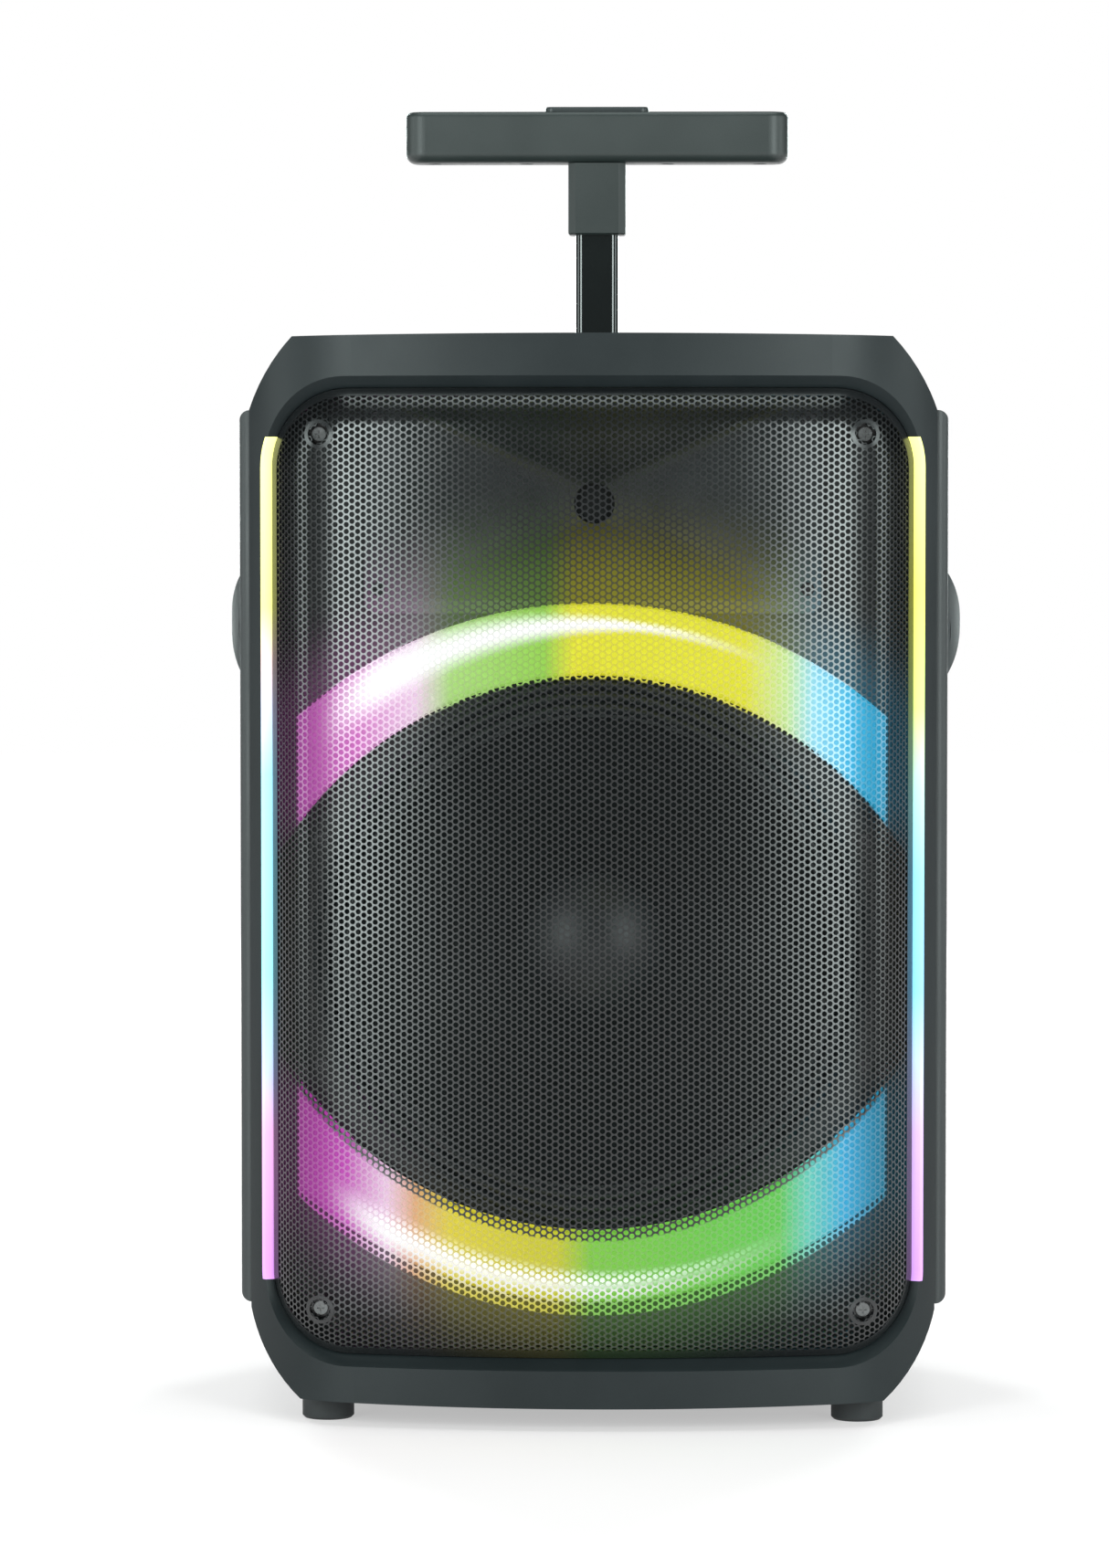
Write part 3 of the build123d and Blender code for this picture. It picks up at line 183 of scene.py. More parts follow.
def finishPiece(piece, material, rides=None, standsFor=()):
    piece.data.materials.clear()
    piece.data.materials.append(material)
    if rides:
        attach(piece, rides)
    if standsFor:
        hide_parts(*standsFor)
    return piece


# ---- finishes
def srgb(r, g, b):
    out = []
    for value in (r, g, b):
        value /= 255
        out.append(value / 12.92 if value <= 0.04045 else ((value + 0.055) / 1.055) ** 2.4)
    return (*out, 1)


def startFinish(name):
    material = bpy.data.materials.new(name)
    material.use_nodes = True
    tree = material.node_tree
    shader = tree.nodes["Principled BSDF"]
    place = tree.nodes.new("ShaderNodeTexCoord")
    return material, tree, shader, place.outputs["Object"]


def addMath(tree, operation, first, second=None, third=None):
    node = tree.nodes.new("ShaderNodeMath")
    node.operation = operation
    for socket, value in zip(node.inputs, (first, second, third)):
        if value is None:
            continue
        if isinstance(value, (int, float)):
            socket.default_value = value
        else:
            tree.links.new(value, socket)
    return node.outputs[0]


def addNoise(tree, where, scale, detail=2.0, rough=0.5):
    noise = tree.nodes.new("ShaderNodeTexNoise")
    noise.inputs["Scale"].default_value = scale
    noise.inputs["Detail"].default_value = detail
    noise.inputs["Roughness"].default_value = rough
    tree.links.new(where, noise.inputs["Vector"])
    return noise.outputs["Fac"]


def addRange(tree, value, fromLow, fromHigh, toLow, toHigh, smooth=False):
    node = tree.nodes.new("ShaderNodeMapRange")
    node.interpolation_type = "SMOOTHSTEP" if smooth else "LINEAR"
    tree.links.new(value, node.inputs["Value"])
    for key, number in (("From Min", fromLow), ("From Max", fromHigh), ("To Min", toLow),
                        ("To Max", toHigh)):
        if isinstance(number, (int, float)):
            node.inputs[key].default_value = number
        else:
            tree.links.new(number, node.inputs[key])
    return node.outputs["Result"]


def addMix(tree, factor, first, second):
    node = tree.nodes.new("ShaderNodeMix")
    node.data_type = "RGBA"
    for socket, value in ((node.inputs[0], factor), (node.inputs[6], first), (node.inputs[7], second)):
        if isinstance(value, (int, float, tuple)):
            socket.default_value = value
        else:
            tree.links.new(value, socket)
    return node.outputs[2]


def addBump(tree, shader, height, depth, strength=1.0):
    bump = tree.nodes.new("ShaderNodeBump")
    bump.inputs["Strength"].default_value = strength
    bump.inputs["Distance"].default_value = depth
    tree.links.new(height, bump.inputs["Height"])
    tree.links.new(bump.outputs["Normal"], shader.inputs["Normal"])
    return bump


# two close shades mottled together, a wandering roughness and a fine moulded grain
def mottled(name, dark, light, rough, patch=14, grain=1300, grainDepth=0.00004, metal=0.0, coat=0.0,
            specular=0.5):
    material, tree, shader, where = startFinish(name)
    patches = addNoise(tree, where, patch, 3)
    fine = addNoise(tree, where, grain, 2, 0.6)
    both = addMath(tree, "ADD", addMath(tree, "MULTIPLY", patches, 0.65),
                   addMath(tree, "MULTIPLY", fine, 0.35))
    tree.links.new(addMix(tree, addRange(tree, both, 0.3, 0.7, 0, 1), (*dark, 1), (*light, 1)),
                   shader.inputs["Base Color"])
    tree.links.new(addRange(tree, patches, 0.3, 0.7, rough[0], rough[1]), shader.inputs["Roughness"])
    shader.inputs["Metallic"].default_value = metal
    shader.inputs["Coat Weight"].default_value = coat
    shader.inputs["Coat Roughness"].default_value = 0.08
    shader.inputs["Specular IOR Level"].default_value = specular
    if grainDepth:
        addBump(tree, shader, fine, grainDepth)
    return material


def fillRamp(ramp, stops):
    elements = ramp.color_ramp.elements
    for place, colour in stops[1:-1]:
        elements.new(place)
    for element, (place, colour) in zip(elements, stops):
        element.position = place
        element.color = srgb(*colour)


# distance from an arc's centre, in the plane of the front
def arcReach(tree, parts, centreZ):
    lift = addMath(tree, "SUBTRACT", parts.outputs["Z"], centreZ)
    across = addMath(tree, "MULTIPLY", parts.outputs["X"], parts.outputs["X"])
    return addMath(tree, "SQRT", addMath(tree, "ADD", across, addMath(tree, "MULTIPLY", lift, lift))), lift


def streakAmount(tree, parts, far, streak):
    off = addMath(tree, "ABSOLUTE", addMath(tree, "SUBTRACT", far, streak["radius"]))
    width = addRange(tree, parts.outputs["X"], streak["wideX"], streak["thinX"], streak["wide"],
                     streak["thin"])
    line = addRange(tree, addMath(tree, "DIVIDE", off, width), 0, 1, 1, 0, True)
    fadeIn = addRange(tree, parts.outputs["X"], streak["fadeIn"][0], streak["fadeIn"][1], 0, 1, True)
    fadeOut = addRange(tree, parts.outputs["X"], streak["fadeOut"][0], streak["fadeOut"][1], 1, 0, True)
    return addMath(tree, "MULTIPLY", line, addMath(tree, "MULTIPLY", fadeIn, fadeOut))


# glow whose colour runs along one axis; the streak is a white-hot line at one radius from an arc's centre
def litDiffuser(name, stops, axis, low, high, strength, streak=None, edgeBoost=1.0):
    material, tree, shader, where = startFinish(name)
    parts = tree.nodes.new("ShaderNodeSeparateXYZ")
    tree.links.new(where, parts.inputs[0])
    ramp = tree.nodes.new("ShaderNodeValToRGB")
    tree.links.new(addRange(tree, parts.outputs[axis], low, high, 0, 1), ramp.inputs[0])
    fillRamp(ramp, stops)
    colour = ramp.outputs[0]
    power = strength
    if streak:
        far, lift = arcReach(tree, parts, streak["centreZ"])
        amount = streakAmount(tree, parts, far, streak)
        colour = addMix(tree, amount, colour, (1, 1, 1, 1))
        power = addRange(tree, amount, 0, 1, strength, strength * 1.5)
    if edgeBoost != 1.0:
        shape = tree.nodes.new("ShaderNodeNewGeometry")
        side = tree.nodes.new("ShaderNodeSeparateXYZ")
        tree.links.new(shape.outputs["Normal"], side.inputs[0])
        sideways = addRange(tree, addMath(tree, "ABSOLUTE", side.outputs["Y"]), 0.15, 0.6, edgeBoost, 1.0)
        power = addMath(tree, "MULTIPLY", power, sideways)
    tree.links.new(colour, shader.inputs["Base Color"])
    tree.links.new(colour, shader.inputs["Emission Color"])
    if isinstance(power, (int, float)):
        shader.inputs["Emission Strength"].default_value = power
    else:
        tree.links.new(power, shader.inputs["Emission Strength"])
    shader.inputs["Roughness"].default_value = 0.35
    return material


# a black finish with the arcs' coloured light painted on as glow, on the arcs' own band and spilling out
# past it as a painted halo
def paintedSpillFinish(name, dark, light, rough, paintedSpill, specular=0.5):
    material = mottled(name, dark, light, rough, grainDepth=0.00001, specular=specular)
    tree = material.node_tree
    shader = tree.nodes["Principled BSDF"]
    where = [node for node in tree.nodes if node.type == "TEX_COORD"][0].outputs["Object"]
    parts = tree.nodes.new("ShaderNodeSeparateXYZ")
    tree.links.new(where, parts.inputs[0])
    sideways = addMath(tree, "ABSOLUTE", parts.outputs["X"])
    half, inner, outer = arcGlow["half"], arcGlow["inner"], arcGlow["outer"]
    colours, amounts = [], []
    for level, side in (("upper", 1), ("lower", -1)):
        ramp = tree.nodes.new("ShaderNodeValToRGB")
        tree.links.new(addRange(tree, parts.outputs["X"], -half, half, 0, 1), ramp.inputs[0])
        fillRamp(ramp, arcGlow[level])
        streak = arcGlow[level + "Streak"]
        far, lift = arcReach(tree, parts, streak["centreZ"])
        onSide = addRange(tree, addMath(tree, "MULTIPLY", lift, side), *arcGlow["onSide"], 0, 1, True)
        within = addMath(tree, "MULTIPLY", onSide, addRange(tree, far, inner - 0.001, inner + 0.0005, 0, 1))
        paintedHalo = addRange(tree, far, outer, outer + paintedSpill["reach"], 1, 0, True)
        paintedHalo = addMath(tree, "MULTIPLY", addMath(tree, "MULTIPLY", paintedHalo, paintedHalo),
                       addRange(tree, sideways, half, arcGlow["sideEnd"], 1, 0, True))
        amount = addMath(tree, "MULTIPLY", paintedHalo, paintedSpill["paintedHalo"])
        colour = ramp.outputs[0]
        # painted glow of the arcs' colour and white streak over what stands in front of the arcs
        if paintedSpill["band"]:
            band = addMath(tree, "MULTIPLY", addRange(tree, far, outer, outer + 0.001, 1, 0),
                           addRange(tree, sideways, half, half + 0.001, 1, 0))
            hot = streakAmount(tree, parts, far, streak)
            colour = addMix(tree, addMath(tree, "MULTIPLY", hot, band), colour, (1, 1, 1, 1))
            amount = addMath(tree, "ADD", amount, addMath(tree, "MULTIPLY", band, paintedSpill["band"]))
        amounts.append(addMath(tree, "MULTIPLY", amount, within))
        colours.append(colour)
    pickLower = addRange(tree, parts.outputs["Z"], *arcGlow["midway"], 1, 0)
    tree.links.new(addMix(tree, pickLower, colours[0], colours[1]), shader.inputs["Emission Color"])
    tree.links.new(addMath(tree, "ADD", amounts[0], amounts[1]), shader.inputs["Emission Strength"])
    return material


# rings or stripes pressed or wound into a piece
def ringed(name, dark, light, rough, axis, pitch, depth, metal=0.0, centre=(0, 0), grain=900, specular=0.5):
    material, tree, shader, where = startFinish(name)
    parts = tree.nodes.new("ShaderNodeSeparateXYZ")
    tree.links.new(where, parts.inputs[0])
    if axis == "radial":
        across = addMath(tree, "SUBTRACT", parts.outputs["X"], centre[0])
        up = addMath(tree, "SUBTRACT", parts.outputs["Z"], centre[1])
        along = addMath(tree, "SQRT",
                        addMath(tree, "ADD", addMath(tree, "MULTIPLY", across, across),
                                addMath(tree, "MULTIPLY", up, up)))
    else:
        along = parts.outputs[axis]
    wave = addMath(tree, "SINE", addMath(tree, "MULTIPLY", along, math.tau / pitch))
    fine = addNoise(tree, where, grain, 2, 0.6)
    height = addMath(tree, "ADD", addMath(tree, "MULTIPLY", wave, 0.5),
                     addMath(tree, "MULTIPLY", fine, 0.5))
    tree.links.new(addMix(tree, addRange(tree, height, -0.4, 0.9, 0, 1), (*dark, 1), (*light, 1)),
                   shader.inputs["Base Color"])
    tree.links.new(addRange(tree, fine, 0.3, 0.7, rough[0], rough[1]), shader.inputs["Roughness"])
    shader.inputs["Metallic"].default_value = metal
    shader.inputs["Specular IOR Level"].default_value = specular
    addBump(tree, shader, height, depth)
    return material


plastic = mottled("slatePlastic", (0.008, 0.0115, 0.0125), (0.013, 0.0175, 0.019), (0.38, 0.48),
                  grainDepth=0.00003, specular=0.26)
handlePlastic = mottled("handlePlastic", (0.008, 0.0115, 0.0125), (0.013, 0.0175, 0.019), (0.60, 0.70),
                        grain=700, grainDepth=0.00010, specular=0.15)
# a textured plastic for the side panels, lighter than the slate plastic as painted light for the light
# their front edges catch
panelPlasticPaintedLight = mottled("panelPlasticPaintedLight", (0.019, 0.023, 0.024), (0.029, 0.034, 0.035), (0.42, 0.54),
                       grain=700, grainDepth=0.00012, specular=0.5)
trayPlastic = mottled("trayPlastic", (0.008, 0.0105, 0.0115), (0.013, 0.0165, 0.018), (0.44, 0.56),
                      grain=700, grainDepth=0.00010, specular=0.4)
framePaint = mottled("framePaint", (0.012, 0.013, 0.014), (0.022, 0.024, 0.025), (0.35, 0.5))
zincSteel = mottled("zincSteel", (0.36, 0.36, 0.34), (0.52, 0.51, 0.47), (0.28, 0.45), patch=60, metal=1.0)
screwSteel = mottled("screwSteel", (0.15, 0.16, 0.16), (0.24, 0.25, 0.25), (0.22, 0.34), patch=90,
                     metal=0.95, grainDepth=0.00001)
blackSteel = mottled("blackSteel", (0.06, 0.06, 0.065), (0.10, 0.10, 0.105), (0.22, 0.34), patch=90,
                     metal=0.9, grainDepth=0.00001)
brightSteel = mottled("brightSteel", (0.55, 0.56, 0.57), (0.68, 0.69, 0.70), (0.16, 0.28), patch=80,
                      metal=1.0, grainDepth=0.00001)
# the compression driver, near-black as painted shade down the horn throat
driverPaintedShade = mottled("driverPaintedShade", (0.004, 0.005, 0.005), (0.008, 0.009, 0.010), (0.5, 0.7), patch=40,
                      specular=0.2)
ferriteGrey = mottled("ferriteGrey", (0.035, 0.035, 0.037), (0.07, 0.07, 0.072), (0.6, 0.8), patch=40)
surroundCloth = mottled("surroundCloth", (0.012, 0.015, 0.016), (0.022, 0.026, 0.028), (0.40, 0.55),
                        grain=1800, grainDepth=0.00006, specular=0.3)
conePaper = ringed("conePaper", (0.006, 0.008, 0.0085), (0.012, 0.015, 0.016), (0.5, 0.7), "radial", 0.009,
                   0.00025, centre=(0, 0.287), specular=0.2)
capPaper = mottled("capPaper", (0.012, 0.015, 0.016), (0.020, 0.024, 0.026), (0.34, 0.44), grain=1500)
spiderCloth = ringed("spiderCloth", (0.42, 0.30, 0.14), (0.62, 0.47, 0.25), (0.75, 0.9), "radial", 0.004,
                     0.0006, centre=(0, 0.287))
coilWinding = ringed("coilWinding", (0.45, 0.20, 0.09), (0.80, 0.42, 0.22), (0.2, 0.35), "Y", 0.0006,
                     0.0001, metal=1.0)
boardGreen = mottled("boardGreen", (0.010, 0.075, 0.035), (0.020, 0.13, 0.065), (0.3, 0.45), patch=120,
                     coat=0.5)
batteryCase = mottled("batteryCase", (0.055, 0.062, 0.070), (0.085, 0.095, 0.105), (0.4, 0.55))
tubeGloss = mottled("tubeGloss", (0.005, 0.007, 0.007), (0.008, 0.011, 0.011), (0.08, 0.14), grainDepth=0.0,
                    coat=0.4)
gripPlastic = mottled("gripPlastic", (0.014, 0.020, 0.019), (0.022, 0.029, 0.028), (0.40, 0.50),
                      grainDepth=0.00006, grain=1000)
buttonPlastic = mottled("buttonPlastic", (0.017, 0.022, 0.023), (0.025, 0.031, 0.032), (0.34, 0.42))
padRubber = mottled("padRubber", (0.010, 0.012, 0.013), (0.020, 0.023, 0.024), (0.6, 0.78),
                    grainDepth=0.00012)
hubPlastic = mottled("hubPlastic", (0.060, 0.066, 0.072), (0.085, 0.092, 0.100), (0.3, 0.4))
tyreRubber = mottled("tyreRubber", (0.014, 0.014, 0.015), (0.030, 0.030, 0.031), (0.6, 0.8), patch=50,
                     grainDepth=0.00015)
knobPlastic = mottled("knobPlastic", (0.020, 0.023, 0.025), (0.034, 0.038, 0.040), (0.24, 0.34),
                      grainDepth=0.00001)
socketPlastic = mottled("socketPlastic", (0.012, 0.013, 0.014), (0.022, 0.024, 0.026), (0.2, 0.3),
                        grainDepth=0.00001)
portPlastic = mottled("portPlastic", (0.018, 0.020, 0.022), (0.028, 0.031, 0.034), (0.4, 0.5))
smokedWindow = mottled("smokedWindow", (0.008, 0.010, 0.012), (0.012, 0.014, 0.017), (0.05, 0.09),
                       grainDepth=0.0, coat=1.0)

# colours along the lit pieces, as places from one end to the other
pink, magenta, yellow, blue = (235, 200, 228), (190, 70, 178), (228, 222, 50), (30, 150, 190)
arcGlow = {
    "upper": [(0.0, (160, 60, 150)), (0.10, (206, 110, 190)), (0.20, pink), (0.26, (170, 214, 120)),
              (0.42, (150, 205, 80)), (0.47, yellow), (0.76, yellow), (0.83, (200, 225, 150)),
              (0.88, (150, 215, 240)), (0.94, (60, 180, 222)), (1.0, blue)],
    "lower": [(0.0, (150, 50, 140)), (0.08, magenta), (0.15, pink), (0.20, (222, 170, 120)),
              (0.26, (222, 206, 60)), (0.44, (205, 200, 50)), (0.50, (130, 200, 70)),
              (0.82, (105, 200, 85)), (0.87, (110, 205, 190)), (0.93, (60, 170, 215)),
              (1.0, (25, 120, 150))],
    "upperStreak": {"centreZ": 0.235, "radius": 0.2535, "wideX": -0.13, "thinX": 0.03, "wide": 0.020,
                    "thin": 0.0045, "fadeIn": (-0.168, -0.125), "fadeOut": (0.01, 0.12)},
    "lowerStreak": {"centreZ": 0.339, "radius": 0.2525, "wideX": -0.10, "thinX": 0.06, "wide": 0.013,
                    "thin": 0.0060, "fadeIn": (-0.165, -0.12), "fadeOut": (-0.01, 0.14)},
    "strength": 0.27,
    "edgeBoost": 3.0,
    "half": 0.1785,
    "inner": 0.222,
    "outer": 0.266,
    "sideEnd": 0.24,
    "onSide": (0.10, 0.15),
    "midway": (0.28, 0.29),
}
stripGlow = {
    "left": [(0.0, (190, 130, 205)), (0.17, (205, 150, 200)), (0.24, (170, 180, 225)),
             (0.36, (140, 210, 232)), (0.60, (145, 212, 232)), (0.68, (190, 196, 222)),
             (0.74, (226, 196, 190)), (0.80, (240, 238, 130)), (1.0, (246, 246, 150))],
    "right": [(0.0, (180, 130, 205)), (0.17, (183, 152, 205)), (0.26, (165, 185, 232)),
              (0.34, (125, 195, 238)), (0.48, (130, 200, 235)), (0.58, (160, 216, 200)),
              (0.68, (195, 222, 120)), (0.82, (236, 236, 100)), (1.0, (246, 246, 140))],
    "strength": 0.95,
}
upperArc = litDiffuser("upperArcGlow", arcGlow["upper"], "X", -arcGlow["half"], arcGlow["half"],
                       arcGlow["strength"], arcGlow["upperStreak"], arcGlow["edgeBoost"])
lowerArc = litDiffuser("lowerArcGlow", arcGlow["lower"], "X", -arcGlow["half"], arcGlow["half"],
                       arcGlow["strength"], arcGlow["lowerStreak"], arcGlow["edgeBoost"])
# baffle, horn and grille carry the arcs' light as painted glow; the grille's wires in front of the arcs are
# painted with the arcs' colour and streak
baffleBlack = paintedSpillFinish("baffleBlack", (0.005, 0.006, 0.0065), (0.010, 0.012, 0.013), (0.40, 0.52),
                          {"reach": 0.055, "paintedHalo": 0.16, "band": 0})
hornBlack = paintedSpillFinish("hornBlack", (0.024, 0.028, 0.030), (0.036, 0.041, 0.044), (0.26, 0.34),
                        {"reach": 0.090, "paintedHalo": 0.26, "band": 0})
grillePaint = paintedSpillFinish("grillePaint", (0.004, 0.005, 0.0055), (0.007, 0.008, 0.009), (0.20, 0.27),
                          {"reach": 0.060, "paintedHalo": 0.08, "band": 0.76}, specular=0.7)
stripLeft = litDiffuser("leftStripGlow", stripGlow["left"], "Z", 0.09, 0.60, stripGlow["strength"])
stripRight = litDiffuser("rightStripGlow", stripGlow["right"], "Z", 0.09, 0.60, stripGlow["strength"])
print("finishes made")

# ---- finishes go onto the parts that keep their own shape
finishOf = {
    "front_bezel": plastic, "rear_cabinet": plastic, "side_handle_left": handlePlastic,
    "side_handle_right": handlePlastic,
    "side_panel_left": panelPlasticPaintedLight, "side_panel_right": panelPlasticPaintedLight, "handle_well": plastic,
    "grille": grillePaint, "grille_screws": screwSteel, "driver_screws": blackSteel, "baffle": baffleBlack,
    "led_strip_left": stripLeft, "led_strip_right": stripRight, "light_arc_upper": upperArc,
    "light_arc_lower": lowerArc,
    "led_boards": boardGreen, "horn": hornBlack, "compression_driver": driverPaintedShade,
    "woofer_frame": framePaint,
    "woofer_surround": surroundCloth, "woofer_spider": spiderCloth, "woofer_cone": conePaper,
    "dust_cap": capPaper,
    "voice_coil": coilWinding, "woofer_top_plate": zincSteel, "woofer_magnet": ferriteGrey,
    "woofer_back_plate": zincSteel,
    "guide_sleeve": plastic, "middle_tube": tubeGloss, "inner_tube": tubeGloss,
    "handle_collar": gripPlastic,
    "grip_base": gripPlastic, "grip_cap": gripPlastic, "grip_screws": blackSteel,
    "release_button": buttonPlastic,
    "push_rod": brightSteel, "release_spring": brightSteel, "rest_pads": padRubber, "feet": padRubber,
    "wheel_axles": zincSteel,
    "wheel_hub_left": hubPlastic, "wheel_hub_right": hubPlastic, "wheel_tyre_left": tyreRubber,
    "wheel_tyre_right": tyreRubber,
    "control_panel": trayPlastic, "tray_screws": blackSteel, "display_window": smokedWindow,
    "volume_knob": knobPlastic,
    "bass_knob": knobPlastic, "treble_knob": knobPlastic, "mic_knob": knobPlastic, "play_key": knobPlastic,
    "back_key": knobPlastic, "next_key": knobPlastic, "light_key": knobPlastic,
    "power_rocker": socketPlastic,
    "sockets": socketPlastic, "amplifier_board": boardGreen, "battery": batteryCase,
    "port_tubes": portPlastic,
}
for name, node in cad.items():
    node.data.materials.clear()
    node.data.materials.append(finishOf[name])

# ---- perforated grille: one flat cell is repeated, then laid on the bowed front
grille = {
    "half": 0.1949,
    "top": 0.6309,
    "base": 0.0446,
    "corner": 0.0474,
    "faceY": -0.165,
    "flatHalf": 0.145,
    "flatSag": 0.017,
    "sideRadius": 0.110,
    "roll": 0.026,
    "rollDrop": 0.0138,
    "pitch": 0.0041,
    "column": 0.00355,
    "hole": 0.00168,
    "sheet": 0.0011,
    "keepInside": 0.0006,
    "rimSide": 0.0030,
    "rimTop": 0.0044,
    "rimProud": 0.00025,
    "skirt": 0.0062,
    "cup": 0.0062,
    "cupDepth": 0.0115,
    "bands": 6,
}
flatRadius = (grille["flatHalf"] ** 2 + grille["flatSag"] ** 2) / (2 * grille["flatSag"])
joinSine = grille["flatHalf"] / flatRadius
grilleMiddle = (grille["top"] + grille["base"]) / 2
grilleHigh = (grille["top"] - grille["base"]) / 2


# how far the front sits behind its middle, at each x
def bowAt(x):
    x = np.abs(x)
    flat = flatRadius - np.sqrt(np.maximum(flatRadius ** 2 - np.minimum(x, grille["flatHalf"]) ** 2, 0))
    sine = np.minimum(joinSine + np.maximum(x - grille["flatHalf"], 0) / grille["sideRadius"], 0.98)
    side = grille["sideRadius"] * (math.sqrt(1 - joinSine ** 2) - np.sqrt(1 - sine ** 2))
    return np.where(x <= grille["flatHalf"], flat, grille["flatSag"] + side)


# distance inwards from the grille's rounded outline
def insideBy(x, z):
    across = np.abs(x) - (grille["half"] - grille["corner"])
    up = np.abs(z - grilleMiddle) - (grilleHigh - grille["corner"])
    inCorner = np.hypot(np.maximum(across, 0), np.maximum(up, 0))
    return grille["corner"] - np.where((across > 0) & (up > 0), inCorner, np.maximum(across, up))


def frontAt(x, z):
    edge = np.clip(1 - insideBy(x, z) / grille["roll"], 0, 1.3)
    return grille["faceY"] + bowAt(x) + grille["rollDrop"] * edge ** 2


def frontNormal(x, z):
    step = 0.0002
    slopeX = (frontAt(x + step, z) - frontAt(x - step, z)) / (2 * step)
    slopeZ = (frontAt(x, z + step) - frontAt(x, z - step)) / (2 * step)
    normal = np.stack([slopeX, -np.ones_like(slopeX), slopeZ], -1)
    return normal / np.linalg.norm(normal, axis=-1, keepdims=True)


# lengths measured along the curve, so that the holes close up towards the sides as pressed steel does
def lengthAlong(limit, depthOf):
    steps = np.linspace(0, limit, 1500)
    depth = depthOf(steps)
    run = np.concatenate([[0], np.cumsum(np.hypot(np.diff(steps), np.diff(depth)))])
    return steps, run


acrossSteps, acrossRun = lengthAlong(grille["half"], lambda x: frontAt(x, np.full_like(x, grilleMiddle)))
upSteps, upRun = lengthAlong(grilleHigh, lambda z: frontAt(np.zeros_like(z), grilleMiddle + z))


def layOnFront(flat):
    x = np.sign(flat[:, 0]) * np.interp(np.abs(flat[:, 0]), acrossRun, acrossSteps)
    z = grilleMiddle + np.sign(flat[:, 2]) * np.interp(np.abs(flat[:, 2]), upRun, upSteps)
    return np.stack([x, frontAt(x, z), z], -1)


screwSpots = [(side * body["screwX"], z) for side in (-1,
                                                      1) for z in (body["windowBase"] + body["screwInset"],
                                                                   body["windowTop"] - body["screwInset"])]


def readPoints(mesh):
    points = np.empty(len(mesh.vertices) * 3)
    mesh.vertices.foreach_get("co", points)
    return points.reshape(-1, 3)


# one hexagon with a round hole
def addCell(name, x, z):
    deselectAll()
    radius = grille["pitch"] / math.sqrt(3)
    upright = (math.pi / 2, 0, 0)
    bpy.ops.mesh.primitive_circle_add(vertices=6, radius=radius, location=(x, 0, z),
                                      rotation=(math.pi / 2, math.radians(30), 0))
    outer = newest(name + "Edge")
    bpy.ops.mesh.primitive_circle_add(vertices=8, radius=grille["hole"], location=(x, 0, z),
                                      rotation=upright)
    cell = joinUp(name, [outer, newest(name + "Hole")])
    settle(cell)
    editMode(cell, "EDGE")
    bpy.ops.mesh.select_all(action="SELECT")
    bpy.ops.mesh.bridge_edge_loops()
    objectMode()
    return cell


def makeBand(number, firstColumn, columns):
    name = "grilleBand" + str(number)
    rows = int(2 * upRun[-1] / grille["pitch"]) + 3
    startZ = -rows / 2 * grille["pitch"]
    startX = firstColumn * grille["column"]
    left = addCell(name + "Even", startX, startZ)
    right = addCell(name + "Odd", startX + grille["column"], startZ + grille["pitch"] / 2)
    band = joinUp(name, [left, right])
    applyModifier(band, "ARRAY", count=rows, use_relative_offset=False, use_constant_offset=True,
                  constant_offset_displace=(0, 0, grille["pitch"]))
    applyModifier(band, "ARRAY", count=columns // 2, use_relative_offset=False, use_constant_offset=True,
                  constant_offset_displace=(2 * grille["column"], 0, 0))
    mesh = band.data
    flat = readPoints(mesh)
    outside = (np.abs(flat[:, 0]) >= acrossRun[-1]) | (np.abs(flat[:, 2]) >= upRun[-1])
    laid = layOnFront(flat)
    bad = outside | (insideBy(laid[:, 0], laid[:, 2]) < grille["keepInside"])
    corners = np.empty(len(mesh.loops), int)
    mesh.loops.foreach_get("vertex_index", corners)
    vertsPerCell = len(mesh.vertices) // (rows * columns)
    cellOf = np.arange(len(mesh.vertices)) // vertsPerCell
    badCell = np.zeros(rows * columns, bool)
    np.logical_or.at(badCell, cellOf, bad)
    centreX = np.bincount(cellOf, laid[:, 0]) / vertsPerCell
    centreZ = np.bincount(cellOf, laid[:, 2]) / vertsPerCell
    for x, z in screwSpots:
        badCell |= np.hypot(centreX - x, centreZ - z) < grille["cup"]
    mesh.vertices.foreach_set("co", laid.ravel())
    goes = badCell[cellOf]
    editMode(band)
    objectMode()
    mesh.vertices.foreach_set("select", goes)
    bpy.ops.object.mode_set(mode="EDIT")
    bpy.ops.mesh.delete(type="VERT")
    bpy.ops.mesh.select_all(action="SELECT")
    bpy.ops.mesh.remove_doubles(threshold=0.0001)
    bpy.ops.mesh.select_all(action="SELECT")
    bpy.ops.mesh.normals_make_consistent(inside=False)
    objectMode()
    towards = np.empty(len(mesh.polygons) * 3)
    mesh.polygons.foreach_get("normal", towards)
    if towards.reshape(-1, 3)[:, 1].mean() > 0:  # the front has to look towards -Y
        editMode(band)
        bpy.ops.mesh.select_all(action="SELECT")
        bpy.ops.mesh.flip_normals()
        objectMode()
    applyModifier(band, "SOLIDIFY", thickness=grille["sheet"], offset=-1, use_even_offset=True)
    smoothByAngle(band, 50)
    return finishPiece(band, grillePaint, "speaker", ["grille"] if number == 1 else ())


columnsEachSide = int(acrossRun[-1] / grille["column"]) + 1
totalColumns = 2 * columnsEachSide
perBand = math.ceil(totalColumns / grille["bands"] / 2) * 2
for number in range(grille["bands"]):
    makeBand(number + 1, -columnsEachSide + number * perBand, perBand)
print("grille perforated:", totalColumns, "columns")


